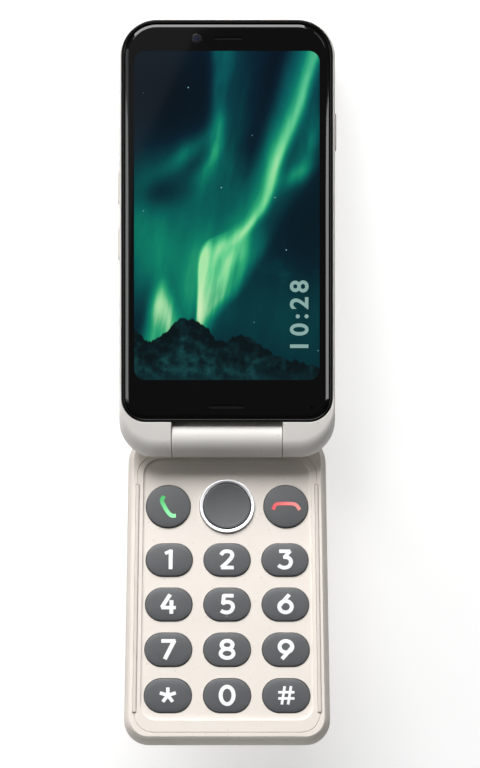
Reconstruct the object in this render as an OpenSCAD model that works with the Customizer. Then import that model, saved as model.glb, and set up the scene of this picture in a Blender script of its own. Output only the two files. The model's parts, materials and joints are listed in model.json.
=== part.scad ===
// Flip mobile phone: a display half with a hinge at its lower end, and a keypad flap.
// Three frames are used. The row frame stands the open phone on a surface, with +Z up.
// The display frame has its origin on the hinge axis, Y up the display and Z out of the glass.
// The flap frame shares that origin, with Y towards the hinge end and Z out of the keys.

/* [Display half] */
// Overall width of the display half
display_width = 65.2; // [64.8:0.1:66]
// Hinge axis to the top end of the display half
display_top = 126.7; // [126.5:0.1:128]
// Thickness of the display half, which is also the hinge diameter
display_thickness = 11.1; // [11:0.05:11.3]
// Plan radius of the display half's outer corners
display_corner = 11.1; // [10.5:0.1:11.5]
// Width of the lit picture
screen_width = 55.65; // [54:0.05:56]
// Height of the lit picture
screen_height = 98.7; // [96:0.1:99]

/* [Keypad flap] */
// Overall width of the flap
flap_width = 60.6; // [60.4:0.1:61.2]
// Hinge axis to the far end of the flap
flap_reach = 90.6; // [90:0.1:92]
// Thickness of the flap
flap_thickness = 8.4; // [8.3:0.1:9]
// Angle of the open flap above the plane of the display
open_angle = 19; // [15:1:25]

/* [Hinge] */
// Length of the centre barrel
barrel_length = 33.2; // [32.8:0.1:33.4]
// Gap between the barrel's ends and the knuckles
knuckle_gap = 0.15; // [0.1:0.05:0.2]
// Radial clearance of a shaft in its bore
running_fit = 0.05; // [0.03:0.01:0.08]

/* [Keys] */
// Spacing of the key columns
column_pitch = 17.36; // [17.2:0.02:17.5]
// Spacing of the digit key rows
row_pitch = 13.62; // [13.5:0.02:13.7]
// Width of a digit key
key_width = 13.9; // [13.7:0.1:14.5]
// Height of a digit key
key_height = 10; // [9.8:0.1:10.6]
// Diameter of the call and end keys
round_key = 13.35; // [13:0.05:13.8]
// Diameter of the OK key
ok_diameter = 14.3; // [14.2:0.1:14.6]
// Outer diameter of the navigation ring
nav_diameter = 16.6; // [16.5:0.1:17.1]

/* [Hidden] */
$fn = 64;
hull_fn = 32;
eps = 0.02;

// Hinge
hinge_r = display_thickness / 2;
barrel_half = barrel_length / 2;
knuckle_x = barrel_half + knuckle_gap;
notch_y = 5.25;
shaft_r = 1.8;
key_hex_r = 2.3;
bush_r = 2.55;
cartridge_r = 3.95;
cartridge_bore_r = 3.2;

// Display stack, heights above the hinge axis
back_z = -hinge_r;
glass_top = hinge_r;
glass_z = 4.55;
bezel_top = 5.35;
bezel_z = 3.0;
panel_z = 2.9;
chassis_top = 2.75;
chassis_z = 2.1;
board_top = 1.4;
board_z = 0.6;
floor_top = -3.4;
cover_top = -4.4;

// Display plan
half_w = display_width / 2;
bezel_half = half_w - 0.9;
bezel_low = notch_y;
bezel_high = display_top - 0.9;
bezel_corner_low = 7.2;
bezel_corner_high = 10.5;
glass_inset = 0.8;
ledge_half = screen_width / 2 + 1;
cavity_half = half_w - 2;
cavity_low = 8.9;
cavity_high = display_top - 2;
screen_low = 17.85;
screen_high = screen_low + screen_height;
panel_low = screen_low - 3.6;
panel_high = screen_high + 1.3;
corner_fill_y = 9.5;
side_lip_top = 4.4;
side_key_z = -0.4;
side_key_proud = 0.5;
power_span = [87.15, 98.7];
volume_up_span = [70.95, 81.45];
volume_down_span = [54.15, 64.7];
camera_y = 114;
flash_x = 9.5;
assist_y = 101.5;
cover_half = 27.9;
cover_span = [9.5, 92];
cover_corner = 6;
battery_half = 25.5;
battery_span = [18, 82];
board_span = [84.5, 123];
sensor_y = display_top - 6.4;
front_camera_x = -9.15;
lower_slot_y = 9.75;
mic_x = 25.4;
mic_y = 9.6;
usb_x = 14;
screw_posts = [[-27.5, 12.3], [27.5, 12.3], [-26, 120.2], [26, 120.2]];

// Flap stack, heights from the hinge axis
rim_z = -hinge_r - 0.5;
bumper_top = rim_z + 0.4;
key_top = rim_z + 0.3;
basin_z = rim_z - 0.6;
parting_z = rim_z - 1.5;
shell_top = parting_z - 0.05;
flap_back = rim_z - flap_thickness;
flange_top = parting_z - 0.1;
flange_z = flange_top - 0.5;
key_stroke = 0.4;
keymat_top = flange_z - 0.45;
keymat_z = keymat_top - 0.5;
plunger_z = keymat_top - 0.35;
dome_top = plunger_z - key_stroke - 0.05;
dome_base = dome_top - 0.3;
board_flap_top = dome_base - 0.02;
board_flap_z = board_flap_top - 0.8;
flap_floor = flap_back + 1.25;

// Flap plan; r is the distance from the hinge axis
flap_half = flap_width / 2;
near_corner = 9.75;
far_corner = 7.4;
near_y = hinge_r;
neck_front = -2.9;
flap_wall = 2.4;
cavity_r = 6.5;
nav_r = 19.34;
first_row_r = 35.97;
round_key_x = 17.78;
key_gap = 0.15;
flange_grow = 0.6;
mat_half = 25.4;
bumper_x = 27.1;
bumper_near = 12.7;
bumper_far = 81.8;
flap_posts = [[-23.5, -27.65], [23.5, -27.65], [-23.5, -70.03], [23.5, -70.03]];
neck_screws = [[-11, 0], [11, 0]];
nav_foot_r = 8.2;
nav_top = key_top - 0.1;
gimbal_z = keymat_top + 0.1;
gimbal_pin_r = 0.35;

// Crowned outer forms: each slice is [height, inset from the widest outline]
housing_slices = [[back_z, 3], [-5.2, 1.8], [-4.4, 0.8], [-3, 0.2], [-1.5, 0],
                  [2, 0], [3.6, 0.2], [4.8, 0.7], [glass_top, 1.6]];
front_slices = [[rim_z, 1.9], [rim_z - 0.15, 1.65], [parting_z, 1.2]];
rear_slices = [[shell_top, 1.1], [-9.3, 0.4], [-11, 0], [-12.2, 0.3], [-13.4, 1.1],
               [-14.1, 2.1], [flap_back, 3.2]];
heel_share = 0.5;

// Row frame: the open phone stands on the flap's heel and the display's far back edge
heel_y = near_y - heel_share * rear_slices[len(rear_slices) - 1][1];
edge_y = display_top - housing_slices[0][1];
rest_tilt = atan((heel_y * sin(open_angle) - flap_back * cos(open_angle) - hinge_r)
                 / (edge_y - heel_y * cos(open_angle) - flap_back * sin(open_angle)));
flap_tilt = rest_tilt + open_angle;
display_end = max([for (s = housing_slices)
    (display_top - s[1]) * cos(rest_tilt) + s[0] * sin(rest_tilt)]);
flap_end = max([for (s = rear_slices)
    (flap_reach - s[1]) * cos(flap_tilt) - s[0] * sin(flap_tilt)]);
hinge_y = (flap_end - display_end) / 2;
hinge_z = edge_y * sin(rest_tilt) + hinge_r * cos(rest_tilt);

// Digit keys: name, column and row
KEY_NAMES = ["key_1", "key_2", "key_3", "key_4", "key_5", "key_6",
             "key_7", "key_8", "key_9", "key_star", "key_0", "key_hash"];
DIGIT_KEYS = [for (i = [0:11]) [KEY_NAMES[i], (i % 3 - 1) * column_pitch,
                                -first_row_r - floor(i / 3) * row_pitch]];
ROUND_KEYS = [["call_key", -round_key_x], ["end_key", round_key_x]];

// ---- Frames ----

module in_display() {
    translate([0, hinge_y, hinge_z]) rotate([-rest_tilt, 0, 0]) children();
}

module in_flap() {
    translate([0, hinge_y, hinge_z]) rotate([-flap_tilt, 0, 0]) children();
}

// ---- Flat outlines ----

// Rounded rectangle from (x0, y0) to (x1, y1), with its own radius at the low and high ends
module rounded(x0, y0, x1, y1, low_r, high_r, fn = $fn) {
    translate([x0, y0 + low_r]) square([x1 - x0, y1 - y0 - low_r - high_r]);
    translate([x0 + low_r, y0]) square([x1 - x0 - 2 * low_r, low_r + eps]);
    translate([x0 + high_r, y1 - high_r - eps]) square([x1 - x0 - 2 * high_r, high_r + eps]);
    for (x = [x0 + low_r, x1 - low_r]) translate([x, y0 + low_r]) circle(low_r, $fn = fn);
    for (x = [x0 + high_r, x1 - high_r]) translate([x, y1 - high_r]) circle(high_r, $fn = fn);
}

// Slot shape with round ends, centred, width by height
module stadium(w, h) {
    square([w - h, h], center = true);
    for (s = [-1, 1]) translate([s * (w - h) / 2, 0]) circle(h / 2);
}

module slab(z0, z1) {
    translate([0, 0, z0]) linear_extrude(z1 - z0) children();
}

module post(x, y, z0, z1, r) {
    translate([x, y, z0]) cylinder(r = r, h = z1 - z0);
}

// Cylinder along X, on the hinge axis
module axle(x0, x1, r, fn = $fn) {
    translate([x0, 0, 0]) rotate([0, 90, 0]) cylinder(r = r, h = x1 - x0, $fn = fn);
}

module block(low, high) {
    translate(low) cube(high - low);
}

// ---- Display half: outlines ----

module bezel_outline(grow) {
    rounded(-bezel_half - grow, bezel_low - grow, bezel_half + grow, bezel_high + grow,
            bezel_corner_low + grow, bezel_corner_high + grow);
}

module cavity_outline(inset) {
    rounded(-cavity_half + inset, cavity_low + inset, cavity_half - inset, cavity_high - inset,
            6 - inset, display_corner - 2 - inset);
}

module cover_outline(grow) {
    rounded(-cover_half - grow, cover_span[0] - grow, cover_half + grow, cover_span[1] + grow,
            cover_corner + grow, cover_corner + grow);
}

module housing_form() {
    hull() for (s = housing_slices)
        slab(s[0] - (s[0] > 0 ? eps : 0), s[0] + (s[0] > 0 ? 0 : eps))
            rounded(-half_w + s[1], -hinge_r, half_w - s[1], display_top - s[1],
                    display_corner, display_corner, hull_fn);
}

// Side view of the half: a full round about the hinge axis, then straight
module side_profile() {
    rotate([90, 0, 90]) translate([0, 0, -half_w - 1]) linear_extrude(display_width + 2) {
        circle(hinge_r);
        translate([0, -hinge_r]) square([display_top + 1, display_thickness]);
    }
}

module usb_outline(inset) {
    stadium(8.94 - 2 * inset, 3.16 - 2 * inset);
}

module at_usb() {
    translate([usb_x, display_top, side_key_z]) rotate([90, 0, 0]) children();
}

// Opening for a side key that spans two places along the display
module side_slot(side, span) {
    x = side * (half_w - 1);
    block([x - 2, span[0] - 0.15, side_key_z - 1.35], [x + 2, span[1] + 0.15, side_key_z + 1.35]);
}

// A side key: its cap, and a wider flange inside the wall that keeps it in
module side_key(side, span) {
    cap = half_w + side_key_proud;
    flange = cavity_half - 0.2;
    in_display() scale([side, 1, 1]) {
        block([flange - eps, span[0], side_key_z - 1.2], [cap, span[1], side_key_z + 1.2]);
        block([flange - 0.7, span[0] - 0.7, side_key_z - 1.8],
              [flange, span[1] + 0.7, side_key_z + 1.8]);
    }
}

// ---- Display half: sub-parts ----

module rear_housing() {
    color([0.93, 0.90, 0.86]) in_display() difference() {
        union() {
            difference() {
                intersection() {
                    housing_form();
                    side_profile();
                }
                slab(floor_top, bezel_z + eps) cavity_outline(0);
            }
            for (p = screw_posts) post(p[0], p[1], floor_top - 0.5, chassis_z, 1.8);
        }
        block([-half_w - 1, corner_fill_y, side_lip_top], [half_w + 1, display_top + 1, 7]);
        slab(bezel_z, 7) bezel_outline(0.05);
        block([-knuckle_x, -7, -7], [knuckle_x, notch_y, 7]);
        axle(-knuckle_x, knuckle_x, hinge_r + 0.2);
        slab(back_z - 1, cover_top + 0.05) cover_outline(0.05);
        block([-battery_half - 0.3, battery_span[0] - 0.3, -5],
              [battery_half + 0.3, battery_span[1] + 0.3, floor_top + 0.5]);
        post(0, camera_y, back_z - 1, back_z + 0.65, 4.45);
        post(0, camera_y, back_z - 1, floor_top + 0.5, 3.1);
        post(flash_x, camera_y, back_z - 1, floor_top + 0.5, 1.55);
        post(0, assist_y, back_z - 1, floor_top + 0.5, 5.15);
        side_slot(1, power_span);
        side_slot(-1, volume_up_span);
        side_slot(-1, volume_down_span);
        at_usb() translate([0, 0, -1]) linear_extrude(5) usb_outline(-0.1);
        axle(knuckle_x - 1, 24.2, key_hex_r + 0.05, 6);
        axle(-24.2, -knuckle_x + 1, bush_r + running_fit);
        axle(-27.6, -24, 1.7);
        block([-27.6, 0, -0.6], [-23, cavity_low + 1, 0.6]);
        for (p = screw_posts) post(p[0], p[1], -2, chassis_z + 1, 0.75);
    }
}

module battery_cover() {
    color([0.92, 0.89, 0.85]) in_display() slab(back_z, cover_top) cover_outline(0);
}

module display_bezel() {
    color([0.08, 0.08, 0.09]) in_display() difference() {
        slab(bezel_z, bezel_top) bezel_outline(0);
        slab(glass_z, 6) bezel_outline(-glass_inset);
        slab(bezel_z - 1, 6)
            rounded(-ledge_half, panel_low - 0.15, ledge_half, panel_high + 0.15, 3, 3);
        post(front_camera_x, sensor_y, bezel_z - 1, 6, 1.9);
        translate([0.3, sensor_y]) slab(bezel_z - 1, 6) square([11.4, 4], center = true);
        translate([0, lower_slot_y]) slab(bezel_z - 1, 6) stadium(10.3, 1.2);
        post(mic_x, mic_y, bezel_z - 1, 6, 1.5);
    }
}

module cover_glass() {
    color([0.05, 0.05, 0.06]) in_display() difference() {
        slab(glass_z, glass_top) bezel_outline(-glass_inset - 0.05);
        translate([0.3, sensor_y]) slab(glass_z - 1, 7) stadium(8.8, 0.9);
        translate([0, lower_slot_y]) slab(glass_z - 1, 7) stadium(10.3, 1.2);
        post(mic_x, mic_y, glass_z - 1, 7, 0.45);
    }
}

module display_panel() {
    color([0.02, 0.25, 0.27]) in_display() slab(panel_z, glass_z - 0.05)
        rounded(-ledge_half + 0.15, panel_low, ledge_half - 0.15, panel_high, 3, 3);
}

module chassis_frame() {
    color([0.62, 0.63, 0.65]) in_display() difference() {
        slab(chassis_z, chassis_top) cavity_outline(0.15);
        post(front_camera_x, sensor_y, chassis_z - 1, 4, 1.9);
        translate([0.3, sensor_y]) slab(chassis_z - 1, 4) square([11.4, 4], center = true);
        translate([0, 12]) slab(chassis_z - 1, 4) square([18, 4], center = true);
        for (p = screw_posts) post(p[0], p[1], chassis_z - 1, 4, 0.75);
    }
}

module main_board() {
    color([0.05, 0.30, 0.16]) in_display() difference() {
        slab(board_z, board_top)
            rounded(-cavity_half + 1.2, board_span[0], cavity_half - 1.2, board_span[1], 1.5, 7.6);
        for (p = screw_posts) post(p[0], p[1], 0, 3, 2);
        block([usb_x - 5, 118.5, 0], [usb_x + 5, 124, 3]);
    }
}

module shield_cans() {
    color([0.75, 0.76, 0.78]) in_display() {
        block([-25, 88, -1.2], [-5, 106, board_z]);
        block([8, 88, -1.2], [25, 103, board_z]);
    }
}

module battery() {
    color([0.12, 0.12, 0.13]) in_display() slab(cover_top + 0.1, 1.9)
        rounded(-battery_half, battery_span[0], battery_half, battery_span[1], 1.5, 1.5);
}

module rear_camera() {
    color([0.10, 0.10, 0.11]) in_display() {
        block([-4.25, camera_y - 4.25, floor_top], [4.25, camera_y + 4.25, board_z]);
        post(0, camera_y, back_z + 0.7, floor_top + eps, 3);
    }
}

module camera_window() {
    color([0.03, 0.03, 0.04]) in_display() post(0, camera_y, back_z + 0.05, back_z + 0.65, 4.4);
}

module flash_led() {
    color([0.95, 0.93, 0.80]) in_display() post(flash_x, camera_y, back_z + 0.1, board_z, 1.5);
}

module front_camera() {
    color([0.07, 0.07, 0.09]) in_display()
        post(front_camera_x, sensor_y, board_top, glass_z - 0.05, 1.7);
}

module earpiece_speaker() {
    color([0.15, 0.15, 0.16]) in_display() translate([0.3, sensor_y])
        slab(board_top, glass_z - 0.1) square([11, 3.6], center = true);
}

module earpiece_mesh() {
    color([0.25, 0.25, 0.26]) in_display() translate([0.3, sensor_y])
        slab(glass_z - 0.1, glass_top - 0.3) stadium(8.7, 0.8);
}

module loudspeaker() {
    color([0.15, 0.15, 0.16]) in_display() slab(floor_top, chassis_z - 0.1)
        rounded(-8.8, 9.1, 8.8, 16.6, 0.8, 0.8);
}

module loudspeaker_mesh() {
    color([0.25, 0.25, 0.26]) in_display() translate([0, lower_slot_y])
        slab(chassis_top + 0.1, glass_top - 0.3) stadium(10.2, 1.1);
}

module vibration_motor() {
    color([0.70, 0.70, 0.72]) in_display() post(-15, 13, floor_top, floor_top + 2.7, 3.6);
}

module usb_c_port() {
    color([0.72, 0.73, 0.75]) in_display() at_usb() {
        translate([0, 0, 0.15]) difference() {
            linear_extrude(7) usb_outline(0);
            translate([0, 0, -1]) linear_extrude(7) usb_outline(0.3);
        }
        translate([-3.35, -0.35, 1]) cube([6.7, 0.7, 6]);
    }
}

module microphone() {
    color([0.60, 0.55, 0.35]) in_display() post(mic_x, mic_y, bezel_z + 0.1, glass_z - 0.05, 1.4);
}

module hinge_shaft() {
    color([0.72, 0.73, 0.75]) in_display() {
        axle(1.5, knuckle_x + 0.35, shaft_r);
        axle(11.6, 12.8, 3);
        axle(knuckle_x + 0.3, 24, key_hex_r, 6);
    }
}

module pivot_bush() {
    color([0.72, 0.73, 0.75]) in_display() difference() {
        axle(-24, -8, bush_r);
        axle(-25, -7, 1.6);
    }
}

module flex_cable() {
    color([0.75, 0.45, 0.15]) in_display() {
        axle(-27, -5, 1.2);
        block([-25.4, 0, -0.15], [-24.1, 14, 0.15]);
    }
}

module housing_screws() {
    color([0.60, 0.61, 0.63]) in_display() for (p = screw_posts) {
        post(p[0], p[1], -1.8, chassis_top + eps, 0.7);
        post(p[0], p[1], chassis_top, chassis_top + 0.2, 1.2);
    }
}

module power_key() {
    color([0.93, 0.90, 0.86]) side_key(1, power_span);
}

module volume_up_key() {
    color([0.93, 0.90, 0.86]) side_key(-1, volume_up_span);
}

module volume_down_key() {
    color([0.93, 0.90, 0.86]) side_key(-1, volume_down_span);
}

module assistance_button() {
    color([0.90, 0.87, 0.83]) in_display() {
        post(0, assist_y, back_z + 0.2, floor_top + 0.12, 5);
        post(0, assist_y, floor_top + 0.1, floor_top + 0.6, 5.8);
    }
}

// ---- Flap: outlines ----

// Flap outline pulled in by an inset, with only a share of it at the hinge end
module flap_outline(inset) {
    rounded(-flap_half + inset, -flap_reach + inset, flap_half - inset,
            near_y - heel_share * inset, far_corner, near_corner, hull_fn);
}

// Hull of thin slices between the first one's height and the last one's
module crowned(slices) {
    middle = (slices[0][0] + slices[len(slices) - 1][0]) / 2;
    hull() for (s = slices)
        slab(s[0] - (s[0] > middle ? eps : 0), s[0] + (s[0] > middle ? 0 : eps))
            flap_outline(s[1]);
}

module digit_outline(grow) {
    stadium(key_width + 2 * grow, key_height + 2 * grow);
}

// The key basin is cut along a plane that runs out to the rim at the far end
module basin() {
    near = -4.5;
    far = -83.5;
    slope = atan((rim_z - basin_z) / (near - far));
    translate([0, near, basin_z]) rotate([-slope, 0, 0]) translate([0, -near, 0])
        slab(0, 3) rounded(-25.4, far, 25.4, near, 4, 4.5);
}

// Everything that stands up through the front cover
module key_openings() {
    for (k = DIGIT_KEYS) translate([k[1], k[2]]) digit_outline(key_gap);
    for (k = ROUND_KEYS) translate([k[1], -nav_r]) circle(round_key / 2 + key_gap);
    translate([0, -nav_r]) circle(nav_diameter / 2 + key_gap);
}

module bumper_outline(grow) {
    translate([0, (-bumper_near - bumper_far) / 2]) rotate(90)
        stadium(bumper_far - bumper_near + 2 * grow, 1 + 2 * grow);
}

// ---- Flap: sub-parts ----

module keypad_front_cover() {
    color([0.95, 0.92, 0.88]) in_flap() difference() {
        union() {
            crowned(front_slices);
            for (p = flap_posts) post(p[0], p[1], flap_floor + 0.05, parting_z + 0.3, 1.3);
        }
        basin();
        slab(parting_z - 1, rim_z + 1) key_openings();
        for (s = [-1, 1]) translate([s * bumper_x, 0, 0])
            slab(rim_z - 0.55, rim_z + 1) bumper_outline(0.05);
        block([-barrel_half - 0.05, neck_front - 0.1, parting_z - 1],
              [barrel_half + 0.05, near_y + 1, rim_z + 1]);
        for (p = flap_posts) post(p[0], p[1], flap_floor - 1, parting_z - 1, 0.65);
    }
}

module keypad_rear_shell() {
    color([0.90, 0.87, 0.83]) in_flap() difference() {
        crowned(rear_slices);
        slab(flap_floor, shell_top + 1)
            rounded(-flap_half + flap_wall, -flap_reach + flap_wall, flap_half - flap_wall,
                    -cavity_r, far_corner - flap_wall, 2);
        block([-8.5, -cavity_r - 1, -9.7], [-3.5, 1, shell_top + 1]);
        for (p = concat(flap_posts, neck_screws)) {
            post(p[0], p[1], flap_back - 1, flap_floor + 6, 0.85);
            post(p[0], p[1], flap_back - 1, flap_back + 0.85, 1.35);
        }
    }
}

module hinge_barrel() {
    color([0.91, 0.88, 0.85]) in_flap() difference() {
        union() {
            axle(-barrel_half, barrel_half, hinge_r);
            block([-barrel_half, neck_front, parting_z], [barrel_half, near_y - 0.05, 0]);
        }
        axle(-barrel_half - 1, -3, bush_r + running_fit);
        axle(-1.5, barrel_half + 1, cartridge_r + running_fit);
        block([-8, -0.6, parting_z - 1], [-4, 0.6, 0]);
        for (p = neck_screws) post(p[0], p[1], parting_z - 1, -5.2, 0.75);
    }
}

module hinge_cartridge() {
    color([0.70, 0.71, 0.73]) in_flap() difference() {
        axle(-1.4, barrel_half - 0.1, cartridge_r);
        axle(-0.6, barrel_half - 1.1, cartridge_bore_r);
        axle(0, barrel_half + 1, shaft_r + running_fit);
    }
}

// Compression spring: a round wire swept along a helix on the hinge axis
module hinge_spring() {
    coil_r = 2.55;
    wire_r = 0.35;
    turns = 6;
    start = 0.1;
    pitch = 1.3;
    rings = 14 * turns;
    sides = 8;
    ring = function(i) [for (j = [0:sides - 1])
        let (a = 360 * turns * i / rings, b = 360 * j / sides, r = coil_r + wire_r * cos(b))
        [start + pitch * turns * i / rings + wire_r * sin(b), r * cos(a), r * sin(a)]];
    points = [for (i = [0:rings]) each ring(i)];
    walls = [for (i = [0:rings - 1], j = [0:sides - 1])
        let (k = (j + 1) % sides, a = i * sides, b = a + sides) [a + j, b + j, b + k, a + k]];
    ends = [[for (j = [0:sides - 1]) j], [for (j = [0:sides - 1]) rings * sides + sides - 1 - j]];
    color([0.55, 0.56, 0.58]) in_flap() translate([wire_r, 0, 0])
        polyhedron(points, concat(walls, ends));
}

module hinge_cam() {
    color([0.62, 0.60, 0.55]) in_flap() difference() {
        axle(8.9, 11.5, cartridge_bore_r - 0.05);
        axle(8, 12, shaft_r + 0.1);
    }
}

module mat_outline() {
    rounded(-mat_half, -flap_reach + 6, mat_half, -9.3, 3, 3);
}

module post_holes() {
    for (p = flap_posts) translate([p[0], p[1]]) circle(1.6);
}

module keymat() {
    color([0.30, 0.30, 0.31]) in_flap() slab(keymat_z, keymat_top) difference() {
        mat_outline();
        post_holes();
        for (k = DIGIT_KEYS) translate([k[1], k[2]]) circle(2.6);
        for (k = ROUND_KEYS) translate([k[1], -nav_r]) circle(2.6);
        translate([0, -nav_r]) circle(9.6);
    }
}

module dome_sheet() {
    color([0.80, 0.80, 0.82]) in_flap() {
        slab(dome_base, dome_base + 0.1) difference() {
            mat_outline();
            post_holes();
        }
        for (k = DIGIT_KEYS) post(k[1], k[2], dome_base + 0.05, dome_top, 2.2);
        for (k = ROUND_KEYS) post(k[1], -nav_r, dome_base + 0.05, dome_top, 2.2);
        post(0, -nav_r, dome_base + 0.05, dome_top, 2.2);
        for (a = [0:90:270])
            post(nav_foot_r * cos(a), -nav_r + nav_foot_r * sin(a), dome_base + 0.05, dome_top, 1.1);
    }
}

module keypad_board() {
    color([0.05, 0.30, 0.16]) in_flap() slab(board_flap_z, board_flap_top) difference() {
        mat_outline();
        post_holes();
    }
}

module keypad_flex() {
    color([0.75, 0.45, 0.15]) in_flap() {
        block([-7.4, -0.1, -9.1], [-4.6, 0.1, -2]);
        block([-7.4, -8.2, -9.1], [-4.6, 0.1, -8.9]);
        block([-7.4, -8.2, board_flap_top - 0.6], [-4.6, -8, -8.9]);
        block([-7.4, -9.3, board_flap_top - 0.6], [-4.6, -8, board_flap_top - 0.4]);
    }
}

module bumper(side) {
    color([0.85, 0.83, 0.80]) in_flap() translate([side * bumper_x, 0, 0])
        slab(rim_z - 0.5, bumper_top) bumper_outline(0);
}

module left_bumper() {
    bumper(-1);
}

module right_bumper() {
    bumper(1);
}

module closing_magnet() {
    color([0.65, 0.66, 0.68]) in_flap() post(0, -flap_reach + 5, flap_floor, flap_floor + 2.5, 2);
}

module flap_screws() {
    color([0.60, 0.61, 0.63]) in_flap() {
        for (p = flap_posts) post(p[0], p[1], flap_back + 0.8, -9, 0.6);
        for (p = neck_screws) post(p[0], p[1], flap_back + 0.8, -5.4, 0.7);
        for (p = concat(flap_posts, neck_screws))
            post(p[0], p[1], flap_back + 0.2, flap_back + 0.82, 1.2);
    }
}

// ---- Keys ----

// A key: cap of the given outline, a wider flange under the cover, and a plunger
module key_body(x, y) {
    translate([x, y, 0]) {
        slab(flange_top - eps, key_top) children(0);
        slab(flange_z, flange_top) children(1);
        post(0, 0, plunger_z, flange_z + eps, 2);
    }
}

module digit_key(key) {
    color([0.33, 0.33, 0.34]) in_flap() {
        key_body(key[1], key[2]) {
            digit_outline(0);
            digit_outline(flange_grow);
        }
        if (key[0] == "key_5") post(key[1], key[2] - 4.2, key_top - eps, key_top + 0.1, 0.5);
    }
}

module round_key(key) {
    color([0.33, 0.33, 0.34]) in_flap() key_body(key[1], -nav_r) {
        circle(round_key / 2);
        circle(round_key / 2 + flange_grow);
    }
}

module ok_key() {
    color([0.33, 0.33, 0.34]) in_flap() {
        post(0, -nav_r, key_top - 1.65, key_top, ok_diameter / 2);
        post(0, -nav_r, plunger_z, key_top - 1.6, 2);
    }
}

module nav_ring() {
    ring_out = nav_diameter / 2;
    ring_in = ok_diameter / 2 + key_gap;
    color([0.82, 0.82, 0.84]) in_flap() {
        translate([0, -nav_r, 0]) {
            slab(flange_z - 0.2, nav_top) difference() {
                circle(ring_out);
                circle(ring_in);
            }
            slab(flange_z - 0.2, flange_top - 0.25) difference() {
                circle(ring_out + 0.65);
                circle(ring_in);
            }
            for (a = [0:90:270]) rotate(a) post(nav_foot_r - 0.1, 0, plunger_z - 0.15, flange_z, 0.6);
        }
    }
}

// Ring under the navigation ring, with a pair of stub pins on each tilt axis
module nav_gimbal() {
    color([0.30, 0.30, 0.31]) in_flap() translate([0, -nav_r, gimbal_z]) {
        slab(-0.4, 0.4) difference() {
            circle(5);
            circle(3.2);
        }
        for (a = [0:90:270]) rotate(a) axle(4.8, 6.2, gimbal_pin_r);
    }
}

rear_housing();
battery_cover();
display_bezel();
cover_glass();
display_panel();
chassis_frame();
main_board();
shield_cans();
battery();
rear_camera();
camera_window();
flash_led();
front_camera();
earpiece_speaker();
earpiece_mesh();
loudspeaker();
loudspeaker_mesh();
vibration_motor();
usb_c_port();
microphone();
hinge_shaft();
pivot_bush();
flex_cable();
housing_screws();
power_key();
volume_up_key();
volume_down_key();
assistance_button();
keypad_front_cover();
keypad_rear_shell();
hinge_barrel();
hinge_cartridge();
hinge_spring();
hinge_cam();
keymat();
dome_sheet();
keypad_board();
keypad_flex();
left_bumper();
right_bumper();
closing_magnet();
flap_screws();
ok_key();
nav_ring();
nav_gimbal();
for (key = DIGIT_KEYS) digit_key(key);
for (key = ROUND_KEYS) round_key(key);
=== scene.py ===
import json
import math

import bmesh
import bpy
from mathutils import Matrix, Vector


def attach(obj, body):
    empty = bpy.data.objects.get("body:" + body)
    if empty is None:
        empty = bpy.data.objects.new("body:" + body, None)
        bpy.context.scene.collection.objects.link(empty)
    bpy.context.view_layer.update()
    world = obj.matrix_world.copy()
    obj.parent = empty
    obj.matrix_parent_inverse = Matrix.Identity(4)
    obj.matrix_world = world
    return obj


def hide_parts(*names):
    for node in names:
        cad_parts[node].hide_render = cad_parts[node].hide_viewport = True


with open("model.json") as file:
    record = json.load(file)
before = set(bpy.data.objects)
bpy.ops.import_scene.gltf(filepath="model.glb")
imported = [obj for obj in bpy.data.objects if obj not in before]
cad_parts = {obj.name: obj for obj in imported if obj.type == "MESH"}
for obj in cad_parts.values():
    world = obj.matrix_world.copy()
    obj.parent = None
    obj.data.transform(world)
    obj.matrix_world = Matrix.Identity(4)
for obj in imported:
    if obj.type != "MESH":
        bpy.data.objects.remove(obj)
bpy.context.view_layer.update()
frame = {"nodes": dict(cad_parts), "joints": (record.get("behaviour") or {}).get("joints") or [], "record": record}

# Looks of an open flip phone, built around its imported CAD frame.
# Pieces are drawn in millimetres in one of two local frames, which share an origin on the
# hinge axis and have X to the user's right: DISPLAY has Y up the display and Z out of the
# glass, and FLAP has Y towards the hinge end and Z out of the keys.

RECORD = frame["record"]
NODES = frame["nodes"]
JOINTS = {joint["name"]: joint for joint in frame["joints"]}
MOUNTS = {mount["name"]: mount for mount in RECORD["mounts"]}
BODY_OF = {node: body for body, nodes in RECORD["behaviour"]["bodies"].items() for node in nodes}
SLOT_OF = {part["node"]: part["material_slot"] for part in RECORD["subparts"]}
HINGE = Vector(JOINTS["flap_hinge"]["pos_m"])
MM = 0.001


def local_frame(back_axis):
    """Matrix from a half's own millimetres to the row frame, from the axis of its back."""
    normal = -Vector(back_axis)
    right = Vector((1, 0, 0))
    turn = Matrix((right, normal.cross(right), normal)).transposed().to_4x4()
    return Matrix.Translation(HINGE) @ turn @ Matrix.Scale(MM, 4)


DISPLAY = local_frame(MOUNTS["display_back"]["axis"])
FLAP = local_frame(MOUNTS["flap_back"]["axis"])


def local_box(node, half):
    """Lowest and highest corners of a CAD node, in a half's own millimetres."""
    back = half.inverted()
    points = [back @ vertex.co for vertex in NODES[node].data.vertices]
    low = Vector([min(p[i] for p in points) for i in range(3)])
    high = Vector([max(p[i] for p in points) for i in range(3)])
    return low, high


# ---- Camera ----

CAMERA_DISTANCE = 592.5  # from the glass
CAMERA_UP = 16.65  # above the hinge axis, along the display


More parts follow.
